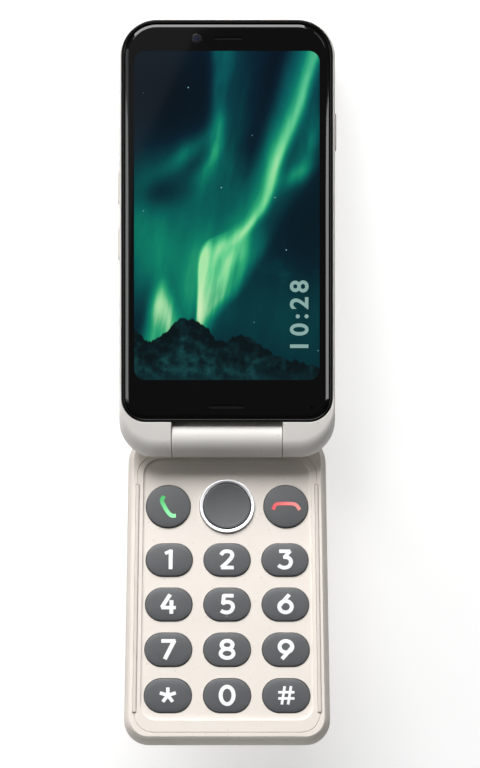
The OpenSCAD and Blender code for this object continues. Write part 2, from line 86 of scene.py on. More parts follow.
def add_camera():
    data = bpy.data.cameras.new("photo_camera")
    data.lens = 92.6
    data.sensor_width = 36
    data.shift_x = 0.0168
    data.clip_start = 0.01
    camera = bpy.data.objects.new("photo_camera", data)
    bpy.context.scene.collection.objects.link(camera)
    glass_top = local_box("cover_glass", DISPLAY)[1].z
    place = DISPLAY @ Vector((0, CAMERA_UP, glass_top + CAMERA_DISTANCE))
    camera.matrix_world = Matrix.Translation(place) @ DISPLAY.to_quaternion().to_matrix().to_4x4()
    bpy.context.scene.camera = camera


add_camera()


# ---- Outlines: closed loops of points, anticlockwise ----

def outline(x0, y0, x1, y1, low_r, high_r=None, arc=12, sides=()):
    """Rounded rectangle from its low right corner; sides are extra points up the long sides."""
    high_r = low_r if high_r is None else high_r
    corners = ((x1 - low_r, y0 + low_r, low_r), (x1 - high_r, y1 - high_r, high_r),
               (x0 + high_r, y1 - high_r, high_r), (x0 + low_r, y0 + low_r, low_r))
    low, high = y0 + low_r, y1 - high_r
    loop = []
    for turn, (cx, cy, r) in enumerate(corners):
        for step in range(arc + 1):
            angle = math.radians(90 * (turn - 1 + step / arc))
            loop.append((cx + r * math.cos(angle), cy + r * math.sin(angle)))
        if turn == 0:
            loop += [(x1, low + (high - low) * share) for share in sides]
        if turn == 2:
            loop += [(x0, low + (high - low) * share) for share in reversed(sides)]
    return loop


def circle(cx, cy, r, count=64):
    return [(cx + r * math.cos(2 * math.pi * i / count), cy + r * math.sin(2 * math.pi * i / count))
            for i in range(count)]


def stadium(cx, cy, width, height, arc=14):
    r = min(width, height) / 2
    return outline(cx - width / 2, cy - height / 2, cx + width / 2, cy + height / 2, r, arc=arc)


def rectangle(x0, y0, x1, y1):
    return [(x0, y0), (x1, y0), (x1, y1), (x0, y1)]


# Outlines as functions of an inset, for solid(); a negative inset grows them

def circles(cx, cy, r, count=64):
    return lambda inset: circle(cx, cy, r - inset, count)


def stadiums(cx, cy, width, height, arc=14):
    return lambda inset: stadium(cx, cy, width - 2 * inset, height - 2 * inset, arc)


def boxes(x0, y0, x1, y1, r):
    """Rectangles whose small corner radius stays the same."""
    return lambda inset: outline(x0 + inset, y0 + inset, x1 - inset, y1 - inset, r, arc=4)


# ---- Solids ----

def mesh_of(points, faces):
    mesh = bpy.data.meshes.new("work")
    mesh.from_pydata([tuple(p) for p in points], [], faces)
    work = bmesh.new()
    work.from_mesh(mesh)
    bmesh.ops.remove_doubles(work, verts=work.verts, dist=1e-4)
    bmesh.ops.recalc_face_normals(work, faces=work.faces)
    work.to_mesh(mesh)
    work.free()
    return mesh


def loft(rings, closed=False):
    """Skin over rings with the same number of points; open ends get a cap."""
    count = len(rings[0])
    spans = len(rings) if closed else len(rings) - 1
    faces = []
    for a in range(spans):
        b = (a + 1) % len(rings)
        for i in range(count):
            j = (i + 1) % count
            faces.append((a * count + i, a * count + j, b * count + j, b * count + i))
    if not closed:
        last = (len(rings) - 1) * count
        faces += [tuple(range(count))[::-1], tuple(range(last, last + count))]
    return mesh_of([p for ring in rings for p in ring], faces)


def ring(loop, z):
    """A loop at a height, which is a number or a function of the point."""
    return [(x, y, z(x, y) if callable(z) else z) for x, y in loop]


def solid(loop_at, profile, closed=False):
    """Solid whose outline changes with height: profile is a list of (inset, z)."""
    return loft([ring(loop_at(inset), z) for inset, z in profile], closed)


def prism(loop, z0, z1):
    return loft([ring(loop, z0), ring(loop, z1)])


def turned(profile, closed=False, steps=96):
    """Solid turned about the hinge axis: profile is a list of (x, radius)."""
    angles = [2 * math.pi * i / steps for i in range(steps)]
    return loft([[(x, r * math.cos(a), r * math.sin(a)) for a in angles] for x, r in profile],
                closed)


def rounded_edge(inset, z, across, up, steps=6):
    """Profile of a rounded edge that starts upright and ends level."""
    angles = [math.pi / 2 * i / steps for i in range(steps + 1)]
    return [(inset + across * (1 - math.cos(a)), z + up * math.sin(a)) for a in angles]


def moved(mesh, matrix):
    mesh.transform(matrix)
    return mesh


def mirrored(mesh):
    """The mesh mirrored left to right, with its faces still outwards."""
    mesh.transform(Matrix.Diagonal((-1, 1, 1, 1)))
    mesh.flip_normals()
    return mesh


def shift(x, y, z):
    return Matrix.Translation((x, y, z))


# Turns a drawing in (x, y), pushed out along z, to face the right side
FACE_RIGHT = Matrix(((0, 0, 1, 0), (1, 0, 0, 0), (0, 1, 0, 0), (0, 0, 0, 1)))


def object_of(mesh, name="work"):
    thing = bpy.data.objects.new(name, mesh)
    bpy.context.scene.collection.objects.link(thing)
    return thing


def combined(mesh, operation, others):
    """The mesh after a boolean with each of the others, which are used up."""
    base = object_of(mesh)
    helpers = []
    for other in others:
        helper = object_of(other)
        step = base.modifiers.new("cut", "BOOLEAN")
        step.operation = operation
        step.solver = "EXACT"
        step.object = helper
        helpers.append(helper)
    depsgraph = bpy.context.evaluated_depsgraph_get()
    result = bpy.data.meshes.new_from_object(base.evaluated_get(depsgraph))
    for thing in [base] + helpers:
        used = thing.data
        bpy.data.objects.remove(thing)
        bpy.data.meshes.remove(used)
    result.materials.clear()
    return result


def cut(mesh, *cutters):
    return combined(mesh, "DIFFERENCE", cutters)


def joined(mesh, *others):
    return combined(mesh, "UNION", others)


def piece(name, parts, half, body, replaced=(), sharp=30):
    """A finished piece on a body. Its parts are (mesh, material) pairs in a half's millimetres."""
    work = bmesh.new()
    materials = []
    for mesh, material in parts:
        if material not in materials:
            materials.append(material)
        for polygon in mesh.polygons:
            polygon.material_index = materials.index(material)
        work.from_mesh(mesh)
        bpy.data.meshes.remove(mesh)
    final = bpy.data.meshes.new(name)
    work.to_mesh(final)
    work.free()
    for material in materials:
        final.materials.append(material)
    final.transform(half)
    final.shade_smooth()
    final.set_sharp_from_angle(angle=math.radians(sharp))
    thing = object_of(final, name)
    weigh = thing.modifiers.new("weighted_normals", "WEIGHTED_NORMAL")
    weigh.keep_sharp = True
    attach(thing, body)
    if replaced:
        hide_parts(*replaced)
    return thing


# ---- Materials ----

def srgb(red, green, blue):
    """Linear colour of a 0 to 255 display colour."""
    linear = [c / 12.92 if c <= 0.04045 else ((c + 0.055) / 1.055) ** 2.4
              for c in (red / 255, green / 255, blue / 255)]
    return (*linear, 1)


class Paint:
    """A material whose nodes are added by type; inputs are values or other nodes' outputs."""

    def __init__(self, name):
        self.material = bpy.data.materials.new(name)
        self.material.use_nodes = True
        self.tree = self.material.node_tree
        self.shader = self.tree.nodes["Principled BSDF"]

    def add(self, kind, inputs=None, **settings):
        node = self.tree.nodes.new("ShaderNode" + kind)
        for name, value in settings.items():
            setattr(node, name, value)
        self.set(node, inputs or {})
        return node

    def set(self, node, inputs):
        for key, value in inputs.items():
            if isinstance(value, bpy.types.NodeSocket):
                self.tree.links.new(value, node.inputs[key])
            else:
                node.inputs[key].default_value = value

    def surface(self, **inputs):
        self.set(self.shader, {name.replace("_", " "): value for name, value in inputs.items()})

    def place(self):
        return self.add("TexCoord").outputs["Object"]

    def noise(self, size_mm, detail=3, place=None, roughness=0.5):
        """Noise with features of about that size."""
        return self.add("TexNoise", {"Vector": place or self.place(), "Scale": 1000 / size_mm,
                                     "Detail": detail, "Roughness": roughness}).outputs["Fac"]

    def ramp(self, value, *stops):
        """Colours or greys along a value; stops are (position, colour or grey)."""
        node = self.add("ValToRGB", {"Fac": value})
        elements = node.color_ramp.elements
        while len(elements) < len(stops):
            elements.new(0.5)
        for element, (position, colour) in zip(elements, stops):
            element.position = position
            element.color = colour if hasattr(colour, "__len__") else (colour,) * 3 + (1,)
        return node.outputs["Color"]

    def mix(self, factor, a, b, blend="MIX"):
        node = self.add("Mix", data_type="RGBA", blend_type=blend)
        for index, value in ((0, factor), (6, a), (7, b)):
            if isinstance(value, bpy.types.NodeSocket):
                self.tree.links.new(value, node.inputs[index])
            else:
                node.inputs[index].default_value = value
        return node.outputs[2]

    def bump(self, height, distance_mm, strength=1.0):
        node = self.add("Bump", {"Height": height, "Distance": distance_mm * MM,
                                 "Strength": strength})
        self.tree.links.new(node.outputs["Normal"], self.shader.inputs["Normal"])


def cream_plastic(name, colour, roughness=0.46):
    """Moulded plastic with a fine texture and sparse grey and pinkish specks."""
    paint = Paint(name)
    tint = paint.ramp(paint.noise(9, 2), (0.3, 0.97), (0.7, 1.0))
    colour = paint.mix(1.0, colour, tint, "MULTIPLY")
    for speck, size_mm, share, strength in ((srgb(150, 142, 136), 1.7, 0.09, 0.22),
                                            (srgb(220, 178, 166), 2.1, 0.10, 0.24),
                                            (srgb(120, 112, 106), 1.1, 0.03, 0.18)):
        cells = paint.add("TexVoronoi", {"Vector": paint.place(), "Scale": 1000 / size_mm})
        near = paint.ramp(cells.outputs["Distance"], (0.08, 1.0), (0.24, 0.0))
        pick = paint.add("SeparateColor", {"Color": cells.outputs["Color"]}).outputs["Red"]
        chosen = paint.add("Math", {0: pick, 1: share}, operation="LESS_THAN").outputs[0]
        amount = paint.add("Math", {0: near, 1: chosen}, operation="MULTIPLY").outputs[0]
        amount = paint.add("Math", {0: amount, 1: strength}, operation="MULTIPLY").outputs[0]
        colour = paint.mix(amount, colour, speck)
    worn = paint.ramp(paint.noise(14, 4), (0.35, roughness - 0.04), (0.7, roughness + 0.05))
    paint.surface(Base_Color=colour, Roughness=worn, Specular_IOR_Level=0.4)
    paint.bump(paint.noise(0.16, 2), 0.012, 0.5)
    return paint.material


def satin(name, colour, roughness, grain_mm=0.12, depth_mm=0.006, metallic=0.0, vary=0.06,
          specular=0.5):
    """Plain moulded or metal surface with a fine grain and slight unevenness."""
    paint = Paint(name)
    shade = paint.ramp(paint.noise(5, 3), (0.3, 1 - vary), (0.7, 1.0))
    worn = paint.ramp(paint.noise(3, 4), (0.3, roughness * 0.9), (0.7, min(1, roughness * 1.12)))
    paint.surface(Base_Color=paint.mix(1.0, colour, shade, "MULTIPLY"), Roughness=worn,
                  Metallic=metallic, Specular_IOR_Level=specular)
    paint.bump(paint.noise(grain_mm, 2), depth_mm, 0.5)
    return paint.material


def polished(name, colour, roughness=0.06, specular=0.5):
    """Gloss surface with faint smears that only change its roughness."""
    paint = Paint(name)
    smear = paint.ramp(paint.noise(22, 5), (0.45, roughness), (0.8, roughness + 0.05))
    shade = paint.ramp(paint.noise(30, 1), (0.3, 0.9), (0.7, 1.0))
    paint.surface(Base_Color=paint.mix(1.0, colour, shade, "MULTIPLY"), Roughness=smear,
                  Specular_IOR_Level=specular)
    return paint.material


def brushed(name, colour, roughness=0.3):
    """Machined metal with fine lines along one direction."""
    paint = Paint(name)
    lines = paint.add("Mapping", {"Vector": paint.place(), "Scale": (0.04, 1.0, 1.0)})
    grain = paint.noise(0.12, 3, lines.outputs["Vector"])
    worn = paint.ramp(grain, (0.3, roughness - 0.06), (0.7, roughness + 0.1))
    shade = paint.ramp(grain, (0.25, 0.86), (0.75, 1.0))
    paint.surface(Base_Color=paint.mix(1.0, colour, shade, "MULTIPLY"), Roughness=worn,
                  Metallic=1.0)
    paint.bump(grain, 0.004, 0.4)
    return paint.material


def woven(name, colour):
    """Fine metal mesh: a grid of wires whose openings are painted near black, a painted shade for the dark inside
    seen through holes.
    """
    paint = Paint(name)
    wires = paint.add("TexWave", {"Vector": paint.place(), "Scale": 1000 / 3.6,
                                  "Distortion": 0.0}, bands_direction="X")
    cross = paint.add("TexWave", {"Vector": paint.place(), "Scale": 1000 / 3.6,
                                  "Distortion": 0.0}, bands_direction="Y")
    grid = paint.add("Math", {0: wires.outputs["Fac"], 1: cross.outputs["Fac"]},
                     operation="MAXIMUM").outputs[0]
    # Painted shade: the openings between the wires are coloured near black in place of holes
    paint.surface(Base_Color=paint.ramp(grid, (0.45, srgb(6, 6, 6)), (0.7, colour)),
                  Roughness=0.5, Metallic=0.6)
    paint.bump(grid, 0.03)
    return paint.material


def board_green(name):
    """Solder mask with faint tracks and gold pads."""
    paint = Paint(name)
    cells = paint.add("TexVoronoi", {"Vector": paint.place(), "Scale": 1000 / 2.2},
                      distance="MANHATTAN")
    tracks = paint.ramp(cells.outputs["Distance"], (0.42, 0.0), (0.5, 1.0))
    pads = paint.ramp(cells.outputs["Distance"], (0.08, 1.0), (0.12, 0.0))
    colour = paint.mix(tracks, srgb(14, 84, 48), srgb(30, 112, 68))
    paint.surface(Base_Color=paint.mix(pads, colour, srgb(205, 170, 90)), Roughness=0.38)
    paint.bump(tracks, 0.02)
    return paint.material


def stroke_print_painted_glow(name, start, end):
    """Printed icon whose colour runs along its stroke, with a painted glow from a weak emission."""
    paint = Paint(name)
    along = paint.add("SeparateXYZ", {"Vector": paint.add("TexCoord").outputs["UV"]}).outputs["X"]
    # Painted glow: the icon's colour is also given off as light, though the icon is no lamp
    paint.surface(Base_Color=paint.ramp(along, (0.0, start), (1.0, end)),
                  Emission_Color=paint.ramp(along, (0.0, start), (1.0, end)),
                  Emission_Strength=0.25, Roughness=0.45)
    paint.bump(paint.noise(0.1, 2), 0.004, 0.5)
    return paint.material


CREAM = cream_plastic("cream_shell", srgb(241, 238, 233))
# Painted light: the flap face has its own copy of the shell cream, set to match how the light falls on it
CREAM_FACE_PAINTED_LIGHT = cream_plastic("cream_flap_face_painted_light", srgb(241, 233, 224))
# Painted shade: the barrel has its own darker copy of the shell cream, which tones down the light on its top
CREAM_BARREL_PAINTED_SHADE = cream_plastic("cream_barrel_painted_shade", srgb(236, 233, 228))
CREAM_KEYS = cream_plastic("cream_side_key", srgb(230, 223, 215), 0.42)
CREAM_REAR = cream_plastic("cream_rear", srgb(226, 219, 210))
BEZEL_BLACK = polished("bezel_black", srgb(7, 7, 8), 0.3, 0.3)
GLASS = polished("cover_glass", srgb(14, 14, 15), 0.04)
KEY_GREY = satin("key_grey", srgb(84, 86, 89), 0.42, 0.12, 0.004, vary=0.04)
LEGEND_WHITE = satin("legend_white", srgb(253, 253, 254), 0.5, 0.1, 0.002, vary=0.01)
NAV_METAL = satin("nav_metal", srgb(228, 228, 231), 0.38, 0.1, 0.003, 1.0, 0.05)
ASSIST_GREY = satin("assistance_grey", srgb(196, 190, 184), 0.5, 0.14, 0.008)
RUBBER = satin("bumper_rubber", srgb(226, 219, 211), 0.72, 0.12, 0.01)
SILICONE = satin("silicone", srgb(130, 130, 132), 0.65, 0.2, 0.01)
STEEL = brushed("steel", srgb(196, 197, 200))
ALLOY = satin("chassis_alloy", srgb(172, 174, 178), 0.42, 0.2, 0.01, 1.0)
BATTERY = satin("battery_can", srgb(58, 60, 64), 0.36, 0.3, 0.008, 0.7)
BOARD = board_green("circuit_board")
POLYIMIDE = satin("polyimide", srgb(196, 126, 48), 0.32, 0.4, 0.004)
LENS_BLACK = polished("lens_black", srgb(14, 14, 17), 0.05)
LENS_BLUE = polished("lens_blue", srgb(20, 28, 60), 0.03, 0.9)
LENS_RIM = polished("lens_rim", srgb(34, 34, 44), 0.12, 0.8)
MESH_GREY = woven("speaker_mesh", srgb(24, 24, 26))
LED = satin("led_diffuser", srgb(246, 240, 214), 0.24, 0.3, 0.012)
BRASS = brushed("sensor_brass", srgb(206, 180, 116), 0.26)
GREEN_ICON = stroke_print_painted_glow("call_green", srgb(38, 180, 84), srgb(150, 244, 176))
RED_ICON = stroke_print_painted_glow("end_red", srgb(226, 74, 84), srgb(240, 142, 138))
SLOT_MATERIALS = {
    "cream_shell": CREAM, "bezel_black": BEZEL_BLACK, "cover_glass": GLASS, "screen": GLASS,
    "key_grey": KEY_GREY, "assistance_grey": ASSIST_GREY, "nav_metal": NAV_METAL,
    "bumper_rubber": RUBBER, "silicone": SILICONE, "steel": STEEL, "chassis_alloy": ALLOY,
    "battery_can": BATTERY, "circuit_board": BOARD, "polyimide": POLYIMIDE,
    "lens_black": LENS_BLACK, "speaker_mesh": MESH_GREY, "led_diffuser": LED,
    "sensor_brass": BRASS}


# ---- The lit picture: a green night sky over dark mountains ----

class Field:
    """A number that varies over the picture, written as arithmetic on shader nodes."""

    def __init__(self, paint, socket):
        self.paint = paint
        self.socket = socket

    def math(self, operation, *others):
        inputs = {0: self.socket}
        for index, other in enumerate(others, 1):
            inputs[index] = other.socket if isinstance(other, Field) else other
        node = self.paint.add("Math", inputs, operation=operation)
        return Field(self.paint, node.outputs[0])

    def __add__(self, other):
        return self.math("ADD", other)

    def __sub__(self, other):
        return self.math("SUBTRACT", other)

    def __mul__(self, other):
        return self.math("MULTIPLY", other)

    def __truediv__(self, other):
        return self.math("DIVIDE", other)

    __radd__ = __add__
    __rmul__ = __mul__

    def step(self, low, high):
        """0 below low and 1 above high, with a smooth change between; low may be the larger."""
        node = self.paint.add("MapRange", {"Value": self.socket, "From Min": low,
                                           "From Max": high}, interpolation_type="SMOOTHSTEP")
        return Field(self.paint, node.outputs["Result"])

    def curve(self, *points):
        """A smooth function of the value through the given points."""
        node = self.paint.add("FloatCurve", {"Value": self.socket})
        spline = node.mapping.curves[0]
        for spot, point in zip(spline.points, (points[0], points[-1])):
            spot.location = point
        for point in points[1:-1]:
            spline.points.new(*point)
        node.mapping.update()
        return Field(self.paint, node.outputs["Value"])


class Picture:
    """The picture's coordinates (s to the right and t upwards, 0 to 1) and its brush strokes."""

    def __init__(self, paint, aspect):
        self.paint = paint
        self.aspect = aspect
        uv = paint.add("SeparateXYZ", {"Vector": paint.add("TexCoord").outputs["UV"]})
        self.s = Field(paint, uv.outputs["X"])
        self.t = Field(paint, uv.outputs["Y"])
        drift = self.noise(self.s * 2.2, self.t * 3.0, 2) - 0.5
        flow = self.noise(self.s * 2.2 + 5.0, self.t * 3.0 + 9.0, 2) - 0.5
        self.ws = self.s + drift * 0.035
        self.wt = self.t + flow * 0.03

    def noise(self, x, y, detail=3):
        place = self.paint.add("CombineXYZ", {"X": x.socket, "Y": y.socket})
        node = self.paint.add("TexNoise", {"Vector": place.outputs["Vector"], "Scale": 1.0,
                                           "Detail": detail})
        return Field(self.paint, node.outputs["Fac"])

    def blob(self, x, y, long, short, degrees=0):
        """A soft patch with a long and a short half-width, turned anticlockwise."""
        dx, dy = self.ws - x, (self.wt - y) * self.aspect
        c, s = math.cos(math.radians(degrees)), math.sin(math.radians(degrees))
        along, across = dx * c + dy * s, dy * c - dx * s
        spread = (along * (1 / long)).math("POWER", 2) + (across * (1 / short)).math("POWER", 2)
        return (spread * -1).math("EXPONENT")

    def ribbon(self, points, left, right):
        """A curtain along points (t, s), with its own softness on each side."""
        offset = self.ws - self.wt.curve(*points)
        width = offset.step(-0.004, 0.004) * (right - left) + left
        return ((offset / width).math("POWER", 2) * -1).math("EXPONENT")

    def window(self, low, low_full, high_full, high):
        return self.wt.step(low, low_full) * self.wt.step(high, high_full)


def night_sky():
    paint = Paint("screen_picture")
    pic = Picture(paint, 98.7 / 55.65)
    # Rays stand roughly upright and lean to the right, as the curtains do
    lean = pic.s - pic.t * 0.32
    rays = pic.noise(lean * 26, pic.t * 2.2, 2).step(0.25, 0.75)
    wisps = pic.noise(lean * 9, pic.t * 4.0, 3).step(0.3, 0.7)
    main = ((0.0, 0.30), (0.182, 0.40), (0.283, 0.415), (0.386, 0.475), (0.432, 0.55),
            (0.48, 0.635), (0.52, 0.69), (0.56, 0.722), (0.653, 0.772), (0.74, 0.825),
            (0.86, 0.905), (1.0, 0.985))
    light = pic.t.step(1.0, 0.0) * 0.05 + 0.05
    # Broad teal glow on the left and in the middle
    light += pic.blob(0.02, 0.50, 0.20, 0.30) * 0.26
    light += pic.blob(0.12, 0.37, 0.26, 0.22) * 0.24
    light += pic.blob(0.40, 0.50, 0.24, 0.24, 30) * 0.24
    light += pic.blob(0.30, 0.30, 0.20, 0.25) * 0.16
    light += pic.blob(0.82, 0.20, 0.35, 0.30) * 0.10
    # Curtain down from the top, with a sharp left edge
    curtain = pic.ribbon(((0.0, 0.30), (0.55, 0.36), (0.66, 0.41), (0.75, 0.44), (0.85, 0.455),
                          (1.0, 0.45)), 0.045, 0.17) * pic.window(0.50, 0.66, 1.2, 1.3)
    light += curtain * (wisps * 0.12 + 0.24)
    light += pic.ribbon(((0.0, 0.30), (0.62, 0.375), (0.69, 0.435), (0.76, 0.462), (0.84, 0.47),
                         (1.0, 0.47)), 0.022, 0.035) * pic.window(0.61, 0.70, 0.78, 0.87) * 0.26
    # Patch to the left of it
    light += pic.blob(0.285, 0.695, 0.14, 0.045, 40) * 0.26
    light += pic.blob(0.24, 0.68, 0.22, 0.09, 38) * 0.14
    light += pic.blob(0.35, 0.625, 0.14, 0.05, 30) * 0.10
    # Main ribbon: a wide glow, a green body and a pale core
    light += pic.ribbon(main, 0.16, 0.12) * pic.window(0.05, 0.4, 1.2, 1.3) * 0.20
    light += pic.ribbon(tuple((t, s - 0.045) for t, s in main), 0.085, 0.075) * pic.window(
        0.42, 0.55, 1.2, 1.3) * 0.22
    core = pic.ribbon(main, 0.05, 0.034) * pic.window(0.36, 0.46, 1.2, 1.3)
    light += core * (rays * 0.10 + 0.42)
    light += pic.ribbon(main, 0.026, 0.020) * pic.window(0.40, 0.52, 0.80, 1.0) * 0.16
    # Green curtain at the right edge
    light += pic.blob(0.885, 0.625, 0.10, 0.045, 42) * 0.34
    light += pic.blob(0.945, 0.72, 0.22, 0.055, 72) * (wisps * 0.16 + 0.18)
    # Fold at the foot of the ribbon
    right_edge = pic.wt.curve((0.0, 0.33), (0.17, 0.39), (0.21, 0.44), (0.266, 0.535),
                              (0.35, 0.63), (0.45, 0.72), (0.6, 0.80), (1.0, 0.9))
    left_edge = pic.wt.curve((0.0, 0.33), (0.17, 0.335), (0.30, 0.345), (0.40, 0.365),
                             (0.46, 0.50), (0.6, 0.7), (1.0, 0.9))
    fold = (pic.ws - left_edge).step(-0.012, 0.02) * (right_edge - pic.ws).step(-0.06, 0.045)
    light += fold * pic.wt.step(0.49, 0.36) * (rays * 0.14 + wisps * 0.10 + 0.34)
    light += pic.ribbon(((0.0, 0.32), (0.17, 0.335), (0.25, 0.355), (0.35, 0.36), (0.42, 0.40),
                         (1.0, 0.5)), 0.010, 0.030) * pic.window(0.12, 0.2, 0.34, 0.43) * 0.34
    light += pic.ribbon(((0.0, 0.43), (0.30, 0.475), (0.36, 0.505), (0.43, 0.57), (0.5, 0.65),
                         (1.0, 0.9)), 0.020, 0.045) * pic.window(0.27, 0.34, 0.42, 0.50) * 0.22
    light += pic.ribbon(((0.0, 0.38), (0.30, 0.40), (0.38, 0.44), (0.44, 0.48), (1.0, 0.7)),
                        0.035, 0.02) * pic.window(0.26, 0.36, 0.41, 0.46) * 0.20
    # Flame at the lower left
    peak = (pic.wt - 0.17) * (1 / 0.16)
    tongue = (pic.ws - (peak * -0.005 + 0.155)).math("ABSOLUTE") + peak * 0.085
    light += tongue.step(0.135, 0.035) * pic.wt.step(0.36, 0.22) * (rays * 0.14 + 0.50)
    light += pic.blob(0.13, 0.235, 0.09, 0.045, 78) * 0.24
    light += pic.blob(0.28, 0.22, 0.20, 0.07, 80) * 0.22
    # Dark gaps between the curtains
    shade = pic.blob(0.13, 0.87, 0.28, 0.26) * 0.75
    shade += pic.ribbon(((0.0, 0.45), (0.56, 0.53), (0.63, 0.60), (0.75, 0.665), (0.87, 0.715),
                         (1.0, 0.78)), 0.085, 0.05) * pic.window(0.56, 0.72, 1.2, 1.3) * 0.62
    shade += pic.blob(0.15, 0.575, 0.13, 0.075, 15) * 0.55
    shade += pic.blob(0.93, 0.44, 0.20, 0.24) * 0.35
    light = light * (shade * -1 + 1).math("MAXIMUM", 0.08)
    # Faint cloud at the lower right
    cloud = pic.noise(pic.s * 7, pic.t * 16, 4).step(0.5, 0.75)
    light += cloud * pic.blob(0.84, 0.33, 0.20, 0.10) * 0.06
    light = light * ((wisps - 0.5) * 0.16 + 0.8) + 0.02

    sky = paint.ramp(light.socket, (0.02, srgb(0, 10, 18)), (0.10, srgb(0, 30, 42)),
                     (0.20, srgb(0, 60, 64)), (0.32, srgb(0, 92, 86)), (0.46, srgb(6, 126, 100)),
                     (0.62, srgb(44, 168, 116)), (0.80, srgb(104, 208, 144)),
                     (1.0, srgb(168, 230, 168)))
    # Bluer and greyer towards the top, warmer by the mountains
    high = (pic.t.step(0.55, 1.0) * 0.55).socket
    sky = paint.mix(high, sky, paint.mix(1.0, sky, (0.72, 0.86, 1.25, 1), "MULTIPLY"))
    low = (pic.wt.step(0.34, 0.17) * light.step(0.55, 1.0) * 0.7).socket
    sky = paint.mix(low, sky, srgb(232, 240, 200))

    # A few stars
    place = paint.add("CombineXYZ", {"X": pic.s.socket, "Y": (pic.t * pic.aspect).socket})
    cells = paint.add("TexVoronoi", {"Vector": place.outputs["Vector"], "Scale": 17.0})
    pick = Field(paint, paint.add("SeparateColor", {"Color": cells.outputs["Color"]})
                 .outputs["Red"])
    star = Field(paint, cells.outputs["Distance"]).step(0.085, 0.03) * pick.step(0.72, 1.0)
    sky = paint.mix((star * 0.8).socket, sky, srgb(150, 220, 225))

    # Rough ridge line, with mist at its foot
    ridge = pic.s.curve((0, 0.157), (0.085, 0.122), (0.17, 0.145), (0.25, 0.188), (0.31, 0.186),
                        (0.38, 0.164), (0.47, 0.116), (0.545, 0.136), (0.62, 0.130),
                        (0.72, 0.091), (0.857, 0.062), (1, 0.040))
    ridge = ridge + (pic.noise(pic.s * 26, pic.t * 6, 5) - 0.5) * 0.045
    rock = pic.noise(pic.s * 13, pic.t * 26, 5)
    crag = pic.noise(pic.s * 34 + 3.0, pic.t * 50, 3)
    depth = (ridge - pic.t)
    mist = depth.step(0.0, 0.13) * 0.42 + (rock - 0.5) * 1.5 + (crag - 0.5) * 0.7
    ground = paint.ramp(mist.socket, (0.02, srgb(3, 18, 22)), (0.30, srgb(6, 36, 40)),
                        (0.62, srgb(18, 66, 68)), (1.0, srgb(44, 98, 96)))
    ground = paint.mix((pic.t.step(0.035, 0.0) * 0.6).socket, ground, srgb(6, 34, 40))
    colour = paint.mix(depth.step(-0.002, 0.004).socket, sky, ground)
    paint.surface(Base_Color=srgb(8, 8, 9), Roughness=0.05, Emission_Color=colour,
                  Emission_Strength=1.0)
    return paint.material


SCREEN = night_sky()
CLOCK = satin("screen_clock", srgb(20, 26, 26), 0.05, 1.0, 0.0)
CLOCK_INPUTS = CLOCK.node_tree.nodes["Principled BSDF"].inputs
CLOCK_INPUTS["Emission Color"].default_value = srgb(136, 170, 165)
CLOCK_INPUTS["Emission Strength"].default_value = 1.0


# ---- Display half ----

BEZEL_LOW, BEZEL_HIGH = local_box("display_bezel", DISPLAY)
COVER_LOW, COVER_HIGH = local_box("battery_cover", DISPLAY)
PANEL_LOW, PANEL_HIGH = local_box("display_panel", DISPLAY)
GLASS_LOW, GLASS_HIGH = local_box("cover_glass", DISPLAY)
BARREL_END = local_box("hinge_barrel", FLAP)[1].x
HALF_W, TOP_Y, RADIUS = local_box("rear_housing", DISPLAY)[1]
KNUCKLE_X = BARREL_END + 0.15
NOTCH_Y = BEZEL_LOW.y
CORNER = 11.1
SIDES = (0.01, 0.02, 0.04, 0.06, 0.08, 0.1, 0.13, 0.2, 0.4, 0.6, 0.8)
SENSOR_Y = TOP_Y - 6.4
LIT = (PANEL_LOW.x + 0.775, PANEL_LOW.y + 3.6, PANEL_HIGH.x - 0.925, PANEL_HIGH.y - 1.3)
EARPIECE_AT = (0.3, SENSOR_Y)
FRONT_LENS_AT = (-9.15, SENSOR_Y)
SPEAKER_AT = (0, 9.75)
MICROPHONE_AT = (25.4, 9.6)


def centre(node, half):
    low, high = local_box(node, half)
    return (low + high) / 2


def bezel_loop(inset):
    return outline(BEZEL_LOW.x + inset, BEZEL_LOW.y + inset, BEZEL_HIGH.x - inset,
                   BEZEL_HIGH.y - inset, 7.2 - inset, 10.5 - inset, sides=SIDES)


def cavity_loop():
    return outline(-HALF_W + 2, 8.9, HALF_W - 2, TOP_Y - 2, 6, CORNER - 2, sides=SIDES)


def cover_loop(inset):
    return outline(COVER_LOW.x + inset, COVER_LOW.y + inset, COVER_HIGH.x - inset,
                   COVER_HIGH.y - inset, 6 - inset, sides=SIDES)


def lip(x, y):
    """Height of the shell's front edge: level at the hinge end, then low beside the glass."""
    share = min(1, max(0, (y - 8) / 7))
    return RADIUS - 0.6 * share * share * (3 - 2 * share)


def shell_ring(degrees):
    """Section of the outer shell, from -90 at its back to 90 at its front."""
    a = math.radians(degrees)
    inset = (0.6 if degrees > 0 else 3.0) * (1 - math.cos(a))
    loop = outline(-HALF_W + inset, -RADIUS * math.cos(a), HALF_W - inset, TOP_Y - inset, CORNER,
                   sides=SIDES)
    return [(x, y, math.sin(a) * (lip(x, y) if degrees > 0 else RADIUS)) for x, y in loop]


def side_cutter(span, height, z, reach):
    """Slot with round ends through a side wall, for a key that spans two places."""
    loop = stadium((span[0] + span[1]) / 2, z, span[1] - span[0], height)
    return moved(prism(loop, HALF_W - reach, HALF_W + 2), FACE_RIGHT)


